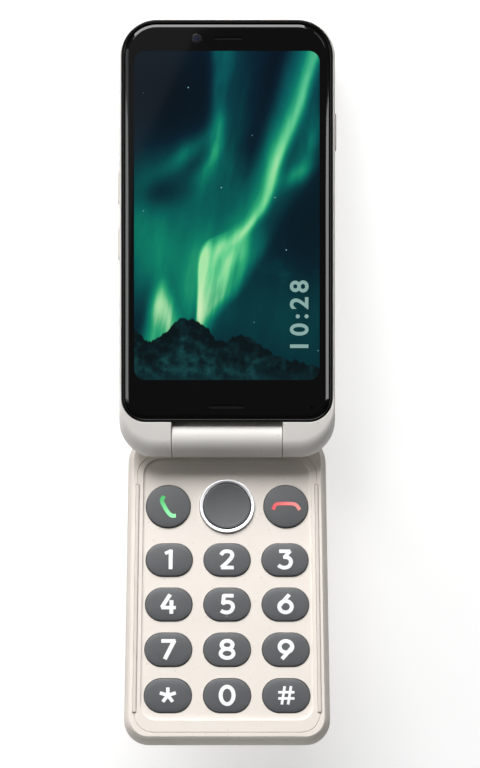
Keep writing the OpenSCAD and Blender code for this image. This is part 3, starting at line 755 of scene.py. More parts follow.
def notch_cutters():
    """Room for the hinge barrel, with its edges broken at the front and the back."""
    box = [(-0.22, -RADIUS - 0.5), (-0.22, -RADIUS - 0.05), (0, -RADIUS + 0.2),
           (0, RADIUS - 0.2), (-0.22, RADIUS + 0.05), (-0.22, RADIUS + 0.5)]

    def notch(inset):
        x = KNUCKLE_X - inset
        return rectangle(-x, -9, x, NOTCH_Y)

    edge = KNUCKLE_X + 0.22
    round_end = [(-edge, RADIUS + 0.5), (-edge, RADIUS + 0.03), (-KNUCKLE_X, RADIUS - 0.2),
                 (-KNUCKLE_X, 3.0), (KNUCKLE_X, 3.0), (KNUCKLE_X, RADIUS - 0.2),
                 (edge, RADIUS + 0.03), (edge, RADIUS + 0.5)]
    clear = prism(rectangle(-KNUCKLE_X, -3, KNUCKLE_X, 5.75), -2.6, 2.6)
    flare = cut(turned(round_end, closed=True),
                prism(rectangle(-20, 0, 20, 9), -9, 9))
    return [solid(notch, box), flare, clear]


def key_span(node):
    """Where a side key's cap starts and ends along the display."""
    low, high = local_box(node, DISPLAY)
    return low.y + 0.7, high.y - 0.7


POWER_SPAN = key_span("power_key")
VOLUME_SPANS = {"volume_up_key": key_span("volume_up_key"),
                "volume_down_key": key_span("volume_down_key")}
SIDE_Z = centre("power_key", DISPLAY).z
CAMERA_AT = centre("camera_window", DISPLAY)
FLASH_AT = centre("flash_led", DISPLAY)
ASSIST_AT = centre("assistance_button", DISPLAY)
USB_AT = centre("usb_c_port", DISPLAY)
USB_LOOP = stadiums(USB_AT.x, SIDE_Z, 8.94, 3.16)
OUT_OF_TOP = Matrix(((1, 0, 0, 0), (0, 0, 1, TOP_Y), (0, 1, 0, 0), (0, 0, 0, 1)))
INTO_TOP = Matrix(((1, 0, 0, 0), (0, 0, -1, TOP_Y), (0, 1, 0, 0), (0, 0, 0, 1)))
BATTERY_LOW, BATTERY_HIGH = local_box("battery", DISPLAY)


def display_shell():
    rings = [ring(cover_loop(-0.08), -4.35), ring(cover_loop(-0.08), -5.43),
             ring(cover_loop(-0.2), -RADIUS)]
    rings += [shell_ring(a) for a in range(-90, 91, 10)]
    rings += [ring(bezel_loop(-0.16), lip), ring(bezel_loop(-0.08), lambda x, y: lip(x, y) - 0.1),
              ring(bezel_loop(-0.08), BEZEL_LOW.z), ring(cavity_loop(), BEZEL_LOW.z),
              ring(cavity_loop(), -3.4)]
    room = rectangle(BATTERY_LOW.x - 0.3, BATTERY_LOW.y - 0.3, BATTERY_HIGH.x + 0.3,
                     BATTERY_HIGH.y + 0.3)
    usb = [(-0.35, 0.5), (-0.35, 0), (-0.1, -0.25), (-0.1, -4)]
    usb_hole = solid(USB_LOOP, usb[::-1])
    shell = cut(loft(rings), *notch_cutters())
    shell = cut(shell, prism(room, -5, -2.9),
                prism(circle(CAMERA_AT.x, CAMERA_AT.y, 4.45), -7, -RADIUS + 0.65),
                prism(circle(CAMERA_AT.x, CAMERA_AT.y, 3.1), -7, -2.9),
                prism(circle(FLASH_AT.x, FLASH_AT.y, 1.55, 32), -7, -2.9),
                solid(circles(ASSIST_AT.x, ASSIST_AT.y, 5.15),
                      [(-0.3, -7), (-0.3, -RADIUS), (0, -RADIUS + 0.3), (0, -2.9)]),
                side_cutter(POWER_SPAN, 2.7, SIDE_Z, 3),
                mirrored(side_cutter(VOLUME_SPANS["volume_up_key"], 2.7, SIDE_Z, 3)),
                mirrored(side_cutter(VOLUME_SPANS["volume_down_key"], 2.7, SIDE_Z, 3)),
                moved(usb_hole, OUT_OF_TOP),
                turned([(KNUCKLE_X - 1, 2.62), (24.25, 2.62)], steps=32),
                turned([(-27.6, 2.62), (-KNUCKLE_X + 1, 2.62)], steps=32))
    piece("display_shell", [(shell, CREAM)], DISPLAY, "display_half",
          ["rear_housing"])


def bezel_and_glass():
    ledge_top = GLASS_LOW.z
    window = outline(LIT[0] - 0.9, PANEL_LOW.y - 0.15, LIT[2] + 0.9, PANEL_HIGH.y + 0.15, 3,
                     sides=SIDES)
    rim = [(0, BEZEL_LOW.z)] + rounded_edge(0, BEZEL_HIGH.z - 0.22, 0.22, 0.22) + [
        (0.66, BEZEL_HIGH.z), (0.76, BEZEL_HIGH.z - 0.08), (0.8, ledge_top)]
    rings = [ring(bezel_loop(inset), z) for inset, z in rim]
    rings += [ring(window, ledge_top), ring(window, BEZEL_LOW.z)]
    slots = [prism(stadium(*EARPIECE_AT, 8.8, 0.9), 2, 7),
             prism(stadium(*SPEAKER_AT, 10.3, 1.2), 2, 7),
             prism(circle(*FRONT_LENS_AT, 1.75, 40), 2, GLASS_LOW.z),
             prism(circle(*MICROPHONE_AT, 1.5, 24), 2, GLASS_LOW.z)]
    piece("display_rim", [(cut(loft(rings, closed=True), *slots), BEZEL_BLACK)], DISPLAY,
          "display_half", ["display_bezel"])

    opening = outline(*LIT, 3.3, sides=SIDES)
    face = GLASS_HIGH.z
    edge = [(0.85, GLASS_LOW.z), (0.85, face - 0.76), (0.92, face - 0.68), (1.02, face - 0.61),
            (1.5, face - 0.33), (1.95, face - 0.1), (2.12, face - 0.03), (2.4, face)]
    rings = [ring(bezel_loop(inset), z) for inset, z in edge]
    rings += [ring(opening, GLASS_HIGH.z), ring(opening, GLASS_LOW.z)]
    holes = [solid(stadiums(*EARPIECE_AT, 8.8, 0.9), [(0, 4), (0, 5.47), (-0.1, 5.6)]),
             solid(stadiums(*SPEAKER_AT, 10.3, 1.2), [(0, 4), (0, 5.45), (-0.12, 5.6)]),
             prism(circle(*MICROPHONE_AT, 0.45, 24), 4.95, 6),
             prism(circle(*FRONT_LENS_AT, 1.45, 48), 5.42, 6)]
    piece("display_glass", [(cut(loft(rings, closed=True), *holes), GLASS)], DISPLAY,
          "display_half", ["cover_glass"])

    lens = [(0, 5.42), (0, 5.49), (0.08, 5.53), (0.62, 5.53)]
    eye = [(0.62, 5.43), (0.62, 5.5), (0.95, 5.53), (1.44, 5.545)]
    piece("front_lens", [(solid(circles(*FRONT_LENS_AT, 1.44), lens), LENS_RIM),
                         (solid(circles(*FRONT_LENS_AT, 1.445, 48), eye), LENS_BLUE)],
          DISPLAY, "display_half")


def grilles():
    top = GLASS_HIGH.z - 0.32
    for name, node, loop, depth in (
            ("earpiece_grille", "earpiece_mesh", stadiums(*EARPIECE_AT, 8.7, 0.8), 4.5),
            ("speaker_grille", "loudspeaker_mesh", stadiums(*SPEAKER_AT, 10.2, 1.1), 2.9)):
        body = solid(loop, [(0, depth), (0, top - 0.06), (0.06, top), (0.16, top),
                            (0.2, top - 0.06), (0.24, top - 0.06)])
        piece(name, [(body, MESH_GREY)], DISPLAY, "display_half", [node])


def add_picture():
    """The lit panel, flush in the glass, with the picture laid over it."""
    body = solid(lambda inset: outline(LIT[0] + inset, LIT[1] + inset, LIT[2] - inset,
                                       LIT[3] - inset, 3.3, sides=SIDES),
                 [(0.004, GLASS_LOW.z), (0.004, GLASS_HIGH.z)])
    layer = body.uv_layers.new(name="picture")
    for loop in body.loops:
        x, y, _ = body.vertices[loop.vertex_index].co
        layer.data[loop.index].uv = ((x - LIT[0]) / (LIT[2] - LIT[0]),
                                     (y - LIT[1]) / (LIT[3] - LIT[1]))
    clock = words("10:28", 7.6, 0.16, 1.32)
    along, across = (LIT[3] - LIT[1]), (LIT[2] - LIT[0])
    clock.transform(shift(LIT[0] + 0.89 * across, LIT[1] + 0.2 * along, GLASS_HIGH.z + 0.002)
                    @ Matrix.Rotation(math.radians(90), 4, "Z") @ Matrix.Diagonal((1, 1, 0.1, 1)))
    piece("lit_screen", [(body, SCREEN), (clock, CLOCK)], DISPLAY, "display_half",
          ["display_panel"])


def side_keys():
    for node, joint_side in (("power_key", 1), ("volume_up_key", -1), ("volume_down_key", -1)):
        low, high = key_span(node)
        cap_x = local_box(node, DISPLAY)[1].x if joint_side > 0 else -local_box(node, DISPLAY)[0].x
        profile = [(0, 30.35)] + rounded_edge(0, cap_x - 0.35, 0.45, 0.3, 5)
        profile += [(0.9, cap_x - 0.02), (1.15, cap_x)]
        loop = stadiums((low + high) / 2, SIDE_Z, high - low, 2.4)
        cap = moved(solid(loop, profile), FACE_RIGHT)
        flange = moved(solid(lambda inset: loop(inset - 0.6),
                             [(0.1, 29.7), (0, 29.8), (0, 30.3), (0.1, 30.4)]), FACE_RIGHT)
        parts = [cap, flange] if joint_side > 0 else [mirrored(cap), mirrored(flange)]
        piece(node + "_cap", [(mesh, CREAM_KEYS) for mesh in parts], DISPLAY, BODY_OF[node],
              [node])


def back_pieces():
    door = solid(cover_loop, [(0, -4.4)] + [(inset, -5.3 - (z + 5.3)) for inset, z in
                                            rounded_edge(0, -5.3, 0.25, 0.25)])
    nail = solid(stadiums(0, COVER_LOW.y + 4.2, 13, 2.6),
                 [(0.75, -5.12), (0.35, -5.22), (0, -5.56), (0, -5.8)])
    piece("battery_door", [(cut(door, nail), CREAM_REAR)], DISPLAY, "display_half",
          ["battery_cover"])

    face = -RADIUS + 0.2
    cap = solid(circles(ASSIST_AT.x, ASSIST_AT.y, 5),
                [(0, -3.28)] + [(inset, face + 0.3 - z) for inset, z in
                                rounded_edge(0, 0, 0.3, 0.3)]
                + [(0.9, face), (1.1, face + 0.05), (2.6, face + 0.16), (4.9, face + 0.22)])
    flange = solid(circles(ASSIST_AT.x, ASSIST_AT.y, 5.8),
                   [(0.05, -3.3), (0, -3.2), (0, -2.85), (0.05, -2.8)])
    piece("assistance_cap", [(cap, ASSIST_GREY), (flange, ASSIST_GREY)], DISPLAY,
          BODY_OF["assistance_button"], ["assistance_button"])

    back = CAMERA_AT.z - 0.3
    window = circles(CAMERA_AT.x, CAMERA_AT.y, 4.4)
    trim = solid(window, [(0, back + 0.6), (0, back + 0.12), (0.12, back), (0.42, back),
                          (0.55, back + 0.1), (0.55, back + 0.6)], closed=True)
    glass = solid(window, [(0.56, back + 0.6), (0.56, back + 0.14), (4.3, back + 0.14)])
    iris = solid(window, [(2.1, back + 0.15), (2.1, back + 0.1), (2.3, back + 0.08),
                          (3.0, back + 0.12), (4.3, back + 0.13)])
    piece("rear_lens", [(trim, STEEL), (glass, LENS_BLACK), (iris, LENS_BLUE)], DISPLAY,
          "display_half", ["camera_window"])

    lamp = circles(FLASH_AT.x, FLASH_AT.y, 1.5, 40)
    piece("flash_lens", [(solid(lamp, [(0, 0.6), (0, -5.3), (0.1, -5.42), (0.5, -5.44),
                                       (0.6, -5.38), (0.75, -5.38), (0.85, -5.44), (1.4, -5.45)]),
                          LED)], DISPLAY, "display_half", ["flash_led"])


def usb_port():
    mouth = [(0, 7), (0, 0.25), (0.06, 0.16), (0.24, 0.16), (0.3, 0.24), (0.3, 6), (1.5, 6.02),
             (1.5, 7)]
    tongue = solid(boxes(USB_AT.x - 3.35, SIDE_Z - 0.35, USB_AT.x + 3.35, SIDE_Z + 0.35, 0.12),
                   [(0.08, 1), (0, 1.1), (0, 6.5)])
    contacts = [prism(rectangle(USB_AT.x - 2.6 + 0.5 * i, SIDE_Z - 0.37, USB_AT.x - 2.35 + 0.5 * i,
                                SIDE_Z + 0.37), 1.5, 5.5) for i in range(12)]
    parts = [(moved(solid(USB_LOOP, mouth, closed=True), INTO_TOP), STEEL),
             (moved(tongue, INTO_TOP), LENS_BLACK)]
    parts += [(moved(contact, INTO_TOP), BRASS) for contact in contacts]
    piece("usb_receptacle", parts, DISPLAY, "display_half", ["usb_c_port"])


# ---- Printed and lit characters ----

def words(text, size, thicken=0.0, spacing=1.0):
    """The text as a thin closed plate in millimetres, centred on the origin."""
    curve = bpy.data.curves.new("words", "FONT")
    curve.body = text
    curve.size = size
    curve.offset = thicken
    curve.extrude = 0.02
    curve.resolution_u = 5
    curve.space_character = spacing
    thing = object_of(curve, "words")
    depsgraph = bpy.context.evaluated_depsgraph_get()
    mesh = bpy.data.meshes.new_from_object(thing.evaluated_get(depsgraph))
    bpy.data.objects.remove(thing)
    bpy.data.curves.remove(curve)
    mesh.materials.clear()
    low = [min(v.co[i] for v in mesh.vertices) for i in range(2)]
    high = [max(v.co[i] for v in mesh.vertices) for i in range(2)]
    mesh.transform(shift(-(low[0] + high[0]) / 2, -(low[1] + high[1]) / 2, 0))
    work = bmesh.new()
    work.from_mesh(mesh)
    bmesh.ops.remove_doubles(work, verts=work.verts, dist=1e-4)
    work.to_mesh(mesh)
    work.free()
    return mesh


def stroke(points, width, smooth=True):
    """A pen stroke as a thin closed plate, with its length laid along U."""
    path = [Vector(p) for p in points]
    if smooth:
        fine = []
        for i in range(len(path) - 1):
            before, after = path[max(i - 1, 0)], path[min(i + 2, len(path) - 1)]
            for step in range(6):
                t = step / 6
                fine.append(0.5 * (2 * path[i] + (path[i + 1] - before) * t
                                   + (2 * before - 5 * path[i] + 4 * path[i + 1] - after) * t * t
                                   + (3 * path[i] - before - 3 * path[i + 1] + after) * t ** 3))
        path = fine + [path[-1]]
    else:
        steps = max(1, round((path[1] - path[0]).length / 0.4))
        path = [path[0].lerp(path[1], i / steps) for i in range(steps + 1)]
    # Ends are squared with rounded corners: extra narrower stations past each end
    stations = []
    for i, point in enumerate(path):
        along = (path[min(i + 1, len(path) - 1)] - path[max(i - 1, 0)]).normalized()
        stations.append((point, along, width / 2))
    first, last = stations[0], stations[-1]
    caps = ((0.16, 1.0), (0.24, 0.95), (0.29, 0.85), (0.3, 0.7))
    before = [(first[0] - first[1] * width * d, first[1], width / 2 * w) for d, w in caps][::-1]
    after = [(last[0] + last[1] * width * d, last[1], width / 2 * w) for d, w in caps]
    stations = before + stations + after
    rings = []
    for point, along, half in stations:
        side = Vector((-along.y, along.x)) * half
        rings.append([(*(point + side), 0.02), (*(point - side), 0.02),
                      (*(point - side), -0.02), (*(point + side), -0.02)])
    mesh = loft(rings)
    layer = mesh.uv_layers.new(name="along")
    run = path[-1] - path[0]
    for corner in mesh.loops:
        spot = Vector(mesh.vertices[corner.vertex_index].co[:2]) - path[0]
        layer.data[corner.index].uv = (min(1, max(0, spot.dot(run) / run.length_squared)), 0)
    return mesh


# ---- Hinge barrel ----

def barrel():
    end, edge = BARREL_END, 0.28
    left_bore, right_bore = 2.6, 4.0
    corner = [(end - edge + edge * math.sin(math.radians(a)),
               RADIUS - edge + edge * math.cos(math.radians(a))) for a in range(0, 91, 15)]
    body = turned([(-x, r) for x, r in reversed(corner)] + corner)
    saddle = solid(lambda inset: outline(-end + inset, -2.9, end - inset, 5.5, 0.25, 1.2, arc=6),
                   [(0, -7.55), (0, -1)])
    body = joined(body, saddle)
    body = cut(body, turned([(-end - 1, left_bore), (-3, left_bore)], steps=64),
               turned([(-1.5, right_bore), (end + 1, right_bore)], steps=64),
               prism(rectangle(-8, -0.6, -4, 0.6), -9, 0))
    piece("barrel", [(body, CREAM_BARREL_PAINTED_SHADE)], FLAP, "keypad_flap", ["hinge_barrel"])


# ---- Keypad flap ----

REAR_LOW, REAR_HIGH = local_box("keypad_rear_shell", FLAP)
FLAP_HALF = REAR_HIGH.x
REACH = -REAR_LOW.y
NEAR_Y = REAR_HIGH.y
RIM_Z = local_box("keypad_front_cover", FLAP)[1].z
PARTING_Z = RIM_Z - 1.5
BACK_Z = REAR_LOW.z
NAV_Y = centre("ok_key", FLAP).y
KEY_TOP = local_box("key_1", FLAP)[1].z
DIGITS = {"key_1": "1", "key_2": "2", "key_3": "3", "key_4": "4", "key_5": "5", "key_6": "6",
          "key_7": "7", "key_8": "8", "key_9": "9", "key_star": "*", "key_0": "0",
          "key_hash": "#"}
FLANGE = 0.6  # how far a key's flange stands out under the cover
FLANGE_TOP = PARTING_Z - 0.1


def cap_size(node):
    low, high = local_box(node, FLAP)
    return high.x - low.x - 2 * FLANGE, high.y - low.y - 2 * FLANGE


KEY_SIZE = cap_size("key_1")
ROUND_R = cap_size("call_key")[0] / 2
OK_R = (local_box("ok_key", FLAP)[1].x - local_box("ok_key", FLAP)[0].x) / 2
RING_OUTER, RING_INNER = OK_R + 1.15, OK_R + 0.16
BUMPER_X = 27.1
BUMPER_SPAN = (-81.8, -12.7)
SCREWS = ((-23.5, -27.65), (23.5, -27.65), (-23.5, -70.03), (23.5, -70.03), (-11, 0), (11, 0))
DOME = 0.26  # rise of a digit key's face
HOLLOW = 0.3  # depth of the OK key's face
PEN = 1.2  # width of the key legends' strokes
LEGEND_SCALE = 0.95  # height of a legend as a share of its drawn height
BASIN_X, BASIN_FAR, BASIN_NEAR = 25.45, -84.1, -4.5
SLOPE_START, SLOPE_LENGTH = -83.5, 79  # of the basin's floor, from its far end
INLAY_X, INLAY_FAR, INLAY_NEAR = 27.2, -87.57, -3.6


def flap_loop(inset, near_inset=None):
    """Outline of the flap; its hinge end is pulled in by half as much unless given."""
    near = inset / 2 if near_inset is None else near_inset
    return outline(-FLAP_HALF + inset, -REACH + inset, FLAP_HALF - inset, NEAR_Y - near,
                   max(7.4 - inset, 4), 9.75, arc=16)


def basin_floor(x, y):
    """The basin is deepest at the hinge end and runs out towards the far end."""
    share = min(1, max(0, (y - SLOPE_START) / SLOPE_LENGTH))
    return RIM_Z - 0.3 - 0.4 * share


def basin_cutter():
    rings = []
    for degrees in range(0, 91, 10):
        a = math.radians(degrees)
        side, far = 0.75 * (1 - math.sin(a)), 2.4 * (1 - math.sin(a))
        loop = outline(-BASIN_X + side, BASIN_FAR + far, BASIN_X - side, BASIN_NEAR - side,
                       4.6 - side, 4.9 - side, arc=14)
        rings.append([(x, y, basin_floor(x, y) + (RIM_Z - basin_floor(x, y)) * (1 - math.cos(a)))
                      for x, y in loop])
    # The rim's edge is slightly broken
    for grow, z in ((0.05, RIM_Z), (0.12, RIM_Z + 0.03), (0.12, RIM_Z + 1)):
        loop = outline(-BASIN_X - grow, BASIN_FAR - grow, BASIN_X + grow, BASIN_NEAR + grow,
                       4.6 + grow, 4.9 + grow, arc=14)
        rings.append(ring(loop, z))
    return loft(rings)


def groove_cutter():
    """A fine V groove round the keys, where the front's inlay meets its frame."""
    def loop(grow):
        return outline(-INLAY_X - grow, INLAY_FAR - grow, INLAY_X + grow, INLAY_NEAR + grow,
                       5.6 + grow, arc=14)

    return loft([ring(loop(-0.17), RIM_Z + 0.1), ring(loop(-0.09), RIM_Z - 0.12),
                 ring(loop(0.0), RIM_Z - 0.3), ring(loop(0.09), RIM_Z - 0.12),
                 ring(loop(0.17), RIM_Z + 0.1)], closed=True)


def opening_cutter(loop_at):
    """Opening for a key, with its upper edge slightly broken."""
    return loft([ring(loop_at(-0.15), RIM_Z - 2),
                 ring(loop_at(-0.15), lambda x, y: basin_floor(x, y) - 0.1),
                 ring(loop_at(-0.24), lambda x, y: basin_floor(x, y) + 0.02),
                 ring(loop_at(-0.24), RIM_Z + 1)])


def flap_front():
    edge = [(1.6, PARTING_Z + 0.02), (1.3, PARTING_Z + 0.14), (1.24, PARTING_Z + 0.24)]
    edge += rounded_edge(1.7, RIM_Z - 0.2, 0.24, 0.2, 5) + [(2.1, RIM_Z)]
    plate = loft([ring(flap_loop(inset), z) for inset, z in edge])
    channels = []
    for x in (-BUMPER_X, BUMPER_X):
        loop = boxes(x - 0.58, BUMPER_SPAN[0] - 0.2, x + 0.58, BUMPER_SPAN[1] + 0.2, 0.12)
        channels.append(solid(loop, [(0, RIM_Z - 0.55), (0, RIM_Z - 0.08), (-0.08, RIM_Z + 0.01),
                                     (-0.08, RIM_Z + 1)]))
    plate = cut(plate, basin_cutter())
    plate = cut(plate, groove_cutter(), *channels)
    holes = []
    for node in DIGITS:
        at = centre(node, FLAP)
        holes.append(opening_cutter(stadiums(at.x, at.y, *KEY_SIZE, 16)))
    for node in ("call_key", "end_key"):
        at = centre(node, FLAP)
        holes.append(opening_cutter(circles(at.x, at.y, ROUND_R, 72)))
    holes.append(opening_cutter(circles(0, NAV_Y, RING_OUTER, 80)))
    holes.append(prism(rectangle(-BARREL_END - 0.08, -3.0, BARREL_END + 0.08, NEAR_Y + 1),
                       PARTING_Z - 1, RIM_Z + 1))
    piece("flap_front", [(cut(plate, *holes), CREAM_FACE_PAINTED_LIGHT)], FLAP, "keypad_flap",
          ["keypad_front_cover"])


def flap_rear():
    cavity = outline(-FLAP_HALF + 2.4, -REACH + 2.4, FLAP_HALF - 2.4, -6.5, 5, 2, arc=16)
    wall = PARTING_Z - 0.07
    widest = -11.0
    rings = [ring(cavity, BACK_Z + 1.25), ring(cavity, wall), ring(flap_loop(1.5), wall),
             ring(flap_loop(1.2), wall - 0.08)]
    for i in range(1, 9):
        share = 1 - i / 8
        rings.append(ring(flap_loop(1.1 * share ** 1.5), widest + (wall - 0.15 - widest) * share))
    for degrees in range(10, 91, 10):
        share = (1 - math.cos(math.radians(degrees))) ** 0.85
        drop = (widest - BACK_Z) * math.sin(math.radians(degrees))
        rings.append(ring(flap_loop(3.2 * share, 1.6 * share ** 0.7), widest - drop))
    shell = cut(loft(rings), prism(rectangle(-8.5, -7.5, -3.5, 1), -9.7, 0))
    bores = []
    for x, y in SCREWS:
        bores.append(solid(circles(x, y, 1.35, 40),
                           [(-0.12, BACK_Z - 1), (-0.12, BACK_Z), (0, BACK_Z + 0.12),
                            (0, BACK_Z + 0.85)]))
        bores.append(prism(circle(x, y, 0.85, 24), BACK_Z + 0.5, BACK_Z + 6))
    piece("flap_rear", [(cut(shell, *bores), CREAM_REAR)], FLAP, "keypad_flap",
          ["keypad_rear_shell"])


def screws():
    parts = []
    head, top = BACK_Z + 0.2, BACK_Z + 0.82
    for x, y in SCREWS:
        body = solid(circles(x, y, 1.2, 40), [
            (0.5, -9.0 if y else -5.4), (0.55, top), (0, top), (0, head + 0.12),
            (0.1, head + 0.02), (0.3, head)])
        lobes = [(x + (0.56 + 0.12 * math.cos(6 * a)) * math.cos(a),
                  y + (0.56 + 0.12 * math.cos(6 * a)) * math.sin(a))
                 for a in [2 * math.pi * i / 60 for i in range(60)]]
        parts.append((cut(body, prism(lobes, head - 0.2, head + 0.4)), STEEL))
    piece("flap_screw_set", parts, FLAP, "keypad_flap", ["flap_screws"])


def bumpers():
    for node in ("left_bumper", "right_bumper"):
        low, high = local_box(node, FLAP)
        body = solid(boxes(low.x, low.y, high.x, high.y, 0.2),
                     [(0.02, low.z)] + rounded_edge(0, high.z - 0.3, 0.3, 0.3, 5))
        piece(node + "_strip", [(body, RUBBER)], FLAP, "keypad_flap", [node])


# ---- Keys ----

def key_face(x, y, cx, cy, half_w, half_h):
    """Height of a digit key's gently domed face."""
    u, v = (x - cx) / half_w, (y - cy) / half_h
    return KEY_TOP - DOME * (1 - max(0.0, 1 - u * u) * max(0.0, 1 - v * v))


def key_solids(loop_at, face, limit):
    """Cap with a rounded edge and domed face, and the flange under it."""
    side = KEY_TOP - DOME - 0.3
    edge = [(0, FLANGE_TOP - 0.02)] + rounded_edge(0, side, 0.42, 0.3, 7)
    rings = [ring(loop_at(inset), z) for inset, z in edge]
    steps = 9
    for i in range(1, steps + 1):
        inset = 0.42 + (limit - 0.42) * i / steps
        rings.append(ring(loop_at(inset), face))
    flange = solid(lambda inset: loop_at(inset - FLANGE),
                   [(0.06, FLANGE_TOP - 0.5), (0, FLANGE_TOP - 0.44), (0, FLANGE_TOP - 0.06),
                    (0.06, FLANGE_TOP)])
    return [loft(rings), flange]


def plunger(x, y):
    low = local_box("call_key", FLAP)[0].z
    return solid(circles(x, y, 2, 32),
                 [(0.2, low), (0, low + 0.15), (0, FLANGE_TOP - 0.45)])


def laid_on(mesh, x, y, face, lift=0.04):
    """A thin plate moved to a place and bent to lie on a key's face."""
    for vertex in mesh.vertices:
        px, py = vertex.co.x + x, vertex.co.y + y
        vertex.co = (px, py, face(px, py) + (lift if vertex.co.z > 0 else -0.03))
    return mesh


def oval(cx, cy, rx, ry):
    """A closed oval stroke as a thin plate."""
    def loop(grow):
        return [(cx + (rx + grow) * math.cos(a), cy + (ry + grow) * math.sin(a))
                for a in [2 * math.pi * i / 48 for i in range(48)]]

    return loft([ring(loop(PEN / 2), 0.02), ring(loop(-PEN / 2), 0.02),
                 ring(loop(-PEN / 2), -0.02), ring(loop(PEN / 2), -0.02)], closed=True)


def bar(x0, y0, x1, y1, width=PEN):
    return stroke([(x0, y0), (x1, y1)], width, False)


def half_turn(mesh):
    mesh.transform(Matrix.Rotation(math.pi, 4, "Z"))
    return mesh


def six():
    stem = stroke([(0.95, 2.75), (0.1, 1.75), (-0.85, 0.6), (-1.6, -0.3)], PEN)
    return joined(oval(0, -0.85, 1.85, 1.8), stem)


def legend(character):
    """A key's character in plain strokes, before it is brought to its height."""
    if character == "1":
        return joined(bar(0.45, -2.8, 0.45, 2.8), bar(-0.95, 2.05, 0.4, 2.7, 1.05))
    if character == "2":
        bow = stroke([(-1.65, 1.75), (-1.1, 2.4), (0, 2.68), (1.1, 2.35), (1.55, 1.45),
                      (1.2, 0.45), (0.2, -0.75), (-0.8, -1.75), (-1.5, -2.4)], PEN)
        return joined(bow, bar(-1.5, -2.63, 1.65, -2.63, 1.15))
    if character == "3":
        bow = stroke([(-0.15, 0.72), (0.95, 0.55), (1.65, -0.25), (1.65, -1.35), (0.95, -2.35),
                      (-0.3, -2.68), (-1.3, -2.4), (-1.75, -2.05)], PEN)
        return joined(bow, bar(-1.4, 2.65, 1.3, 2.65, 1.15), bar(1.35, 2.5, -0.1, 0.72, 1.1))
    if character == "4":
        return joined(bar(0.2, 2.75, -1.9, -0.85), bar(-1.9, -1.15, 1.8, -1.15, 1.1),
                      bar(0.8, 0.85, 0.8, -2.75))
    if character == "5":
        bow = stroke([(-1.2, 0.25), (-0.2, 0.62), (0.9, 0.45), (1.65, -0.3), (1.65, -1.3),
                      (1.0, -2.3), (-0.1, -2.68), (-1.1, -2.5), (-1.55, -2.25)], PEN)
        return joined(bow, bar(-0.95, 2.65, 1.6, 2.65, 1.15), bar(-0.95, 2.6, -1.2, 0.3, 1.15))
    if character == "6":
        return six()
    if character == "7":
        return joined(bar(-1.75, 2.65, 1.75, 2.65, 1.15), bar(1.65, 2.5, -0.85, -2.75, 1.25))
    if character == "8":
        return joined(oval(0, 1.4, 1.6, 1.3), oval(0, -1.28, 1.88, 1.42))
    if character == "9":
        return half_turn(six())
    if character == "0":
        return oval(0, 0, 1.88, 2.68)
    if character == "*":
        arms = [bar(0, 0, 2.15 * math.cos(a), 2.15 * math.sin(a), 1.05)
                for a in [math.radians(90 + 72 * i) for i in range(5)]]
        return joined(arms[0], *arms[1:])
    lines = [bar(-2.15, y, 2.15, y, 0.8) for y in (-0.95, 0.95)]
    lines += [bar(x - 0.42, -2.6, x + 0.42, 2.6, 0.8) for x in (-0.92, 0.92)]
    return joined(lines[0], *lines[1:])


def digit_keys():
    half_w, half_h = KEY_SIZE[0] / 2, KEY_SIZE[1] / 2
    for node, character in DIGITS.items():
        x, y = centre(node, FLAP)[:2]

        def face(px, py, x=x, y=y):
            return key_face(px, py, x, y, half_w, half_h)

        solids = key_solids(stadiums(x, y, *KEY_SIZE, 16), face, 5.0) + [plunger(x, y)]
        parts = [(mesh, KEY_GREY) for mesh in solids]
        sign = legend(character)
        sign.transform(Matrix.Diagonal((1, LEGEND_SCALE, 1, 1)))
        parts.append((laid_on(sign, x, y, face), LEGEND_WHITE))
        if node == "key_5":
            bump = solid(circles(x, y - 3.95, 0.5, 24),
                         [(0, KEY_TOP - 0.4)] + rounded_edge(0, KEY_TOP - 0.2, 0.4, 0.14, 5))
            parts.append((bump, KEY_GREY))
        piece(node + "_cap", parts, FLAP, BODY_OF[node], [node])


def round_keys():
    call = [(-1.5, 2.7), (-1.95, 1.5), (-0.95, -0.7), (0.1, -2.3), (1.05, -3.1), (1.95, -3.15)]
    end = [(-3.75, -0.95), (-3.15, 0.25), (-1.9, 0.6), (1.8, 0.6), (3.1, 0.2), (4.0, -1.0)]
    for node, points, width, ink in (("call_key", call, 1.22, GREEN_ICON),
                                     ("end_key", end, 1.08, RED_ICON)):
        at = centre(node, FLAP)

        def face(px, py, at=at):
            share = ((px - at.x) ** 2 + (py - at.y) ** 2) / ROUND_R ** 2
            return KEY_TOP - DOME * min(1.0, share)

        solids = key_solids(circles(at.x, at.y, ROUND_R, 72), face, ROUND_R - 0.3)
        solids.append(plunger(at.x, at.y))
        icon = stroke([(px, py + 0.05) for px, py in points], width)
        parts = [(mesh, KEY_GREY) for mesh in solids]
        parts.append((laid_on(icon, at.x, at.y, face), ink))
        piece(node + "_cap", parts, FLAP, BODY_OF[node], [node])


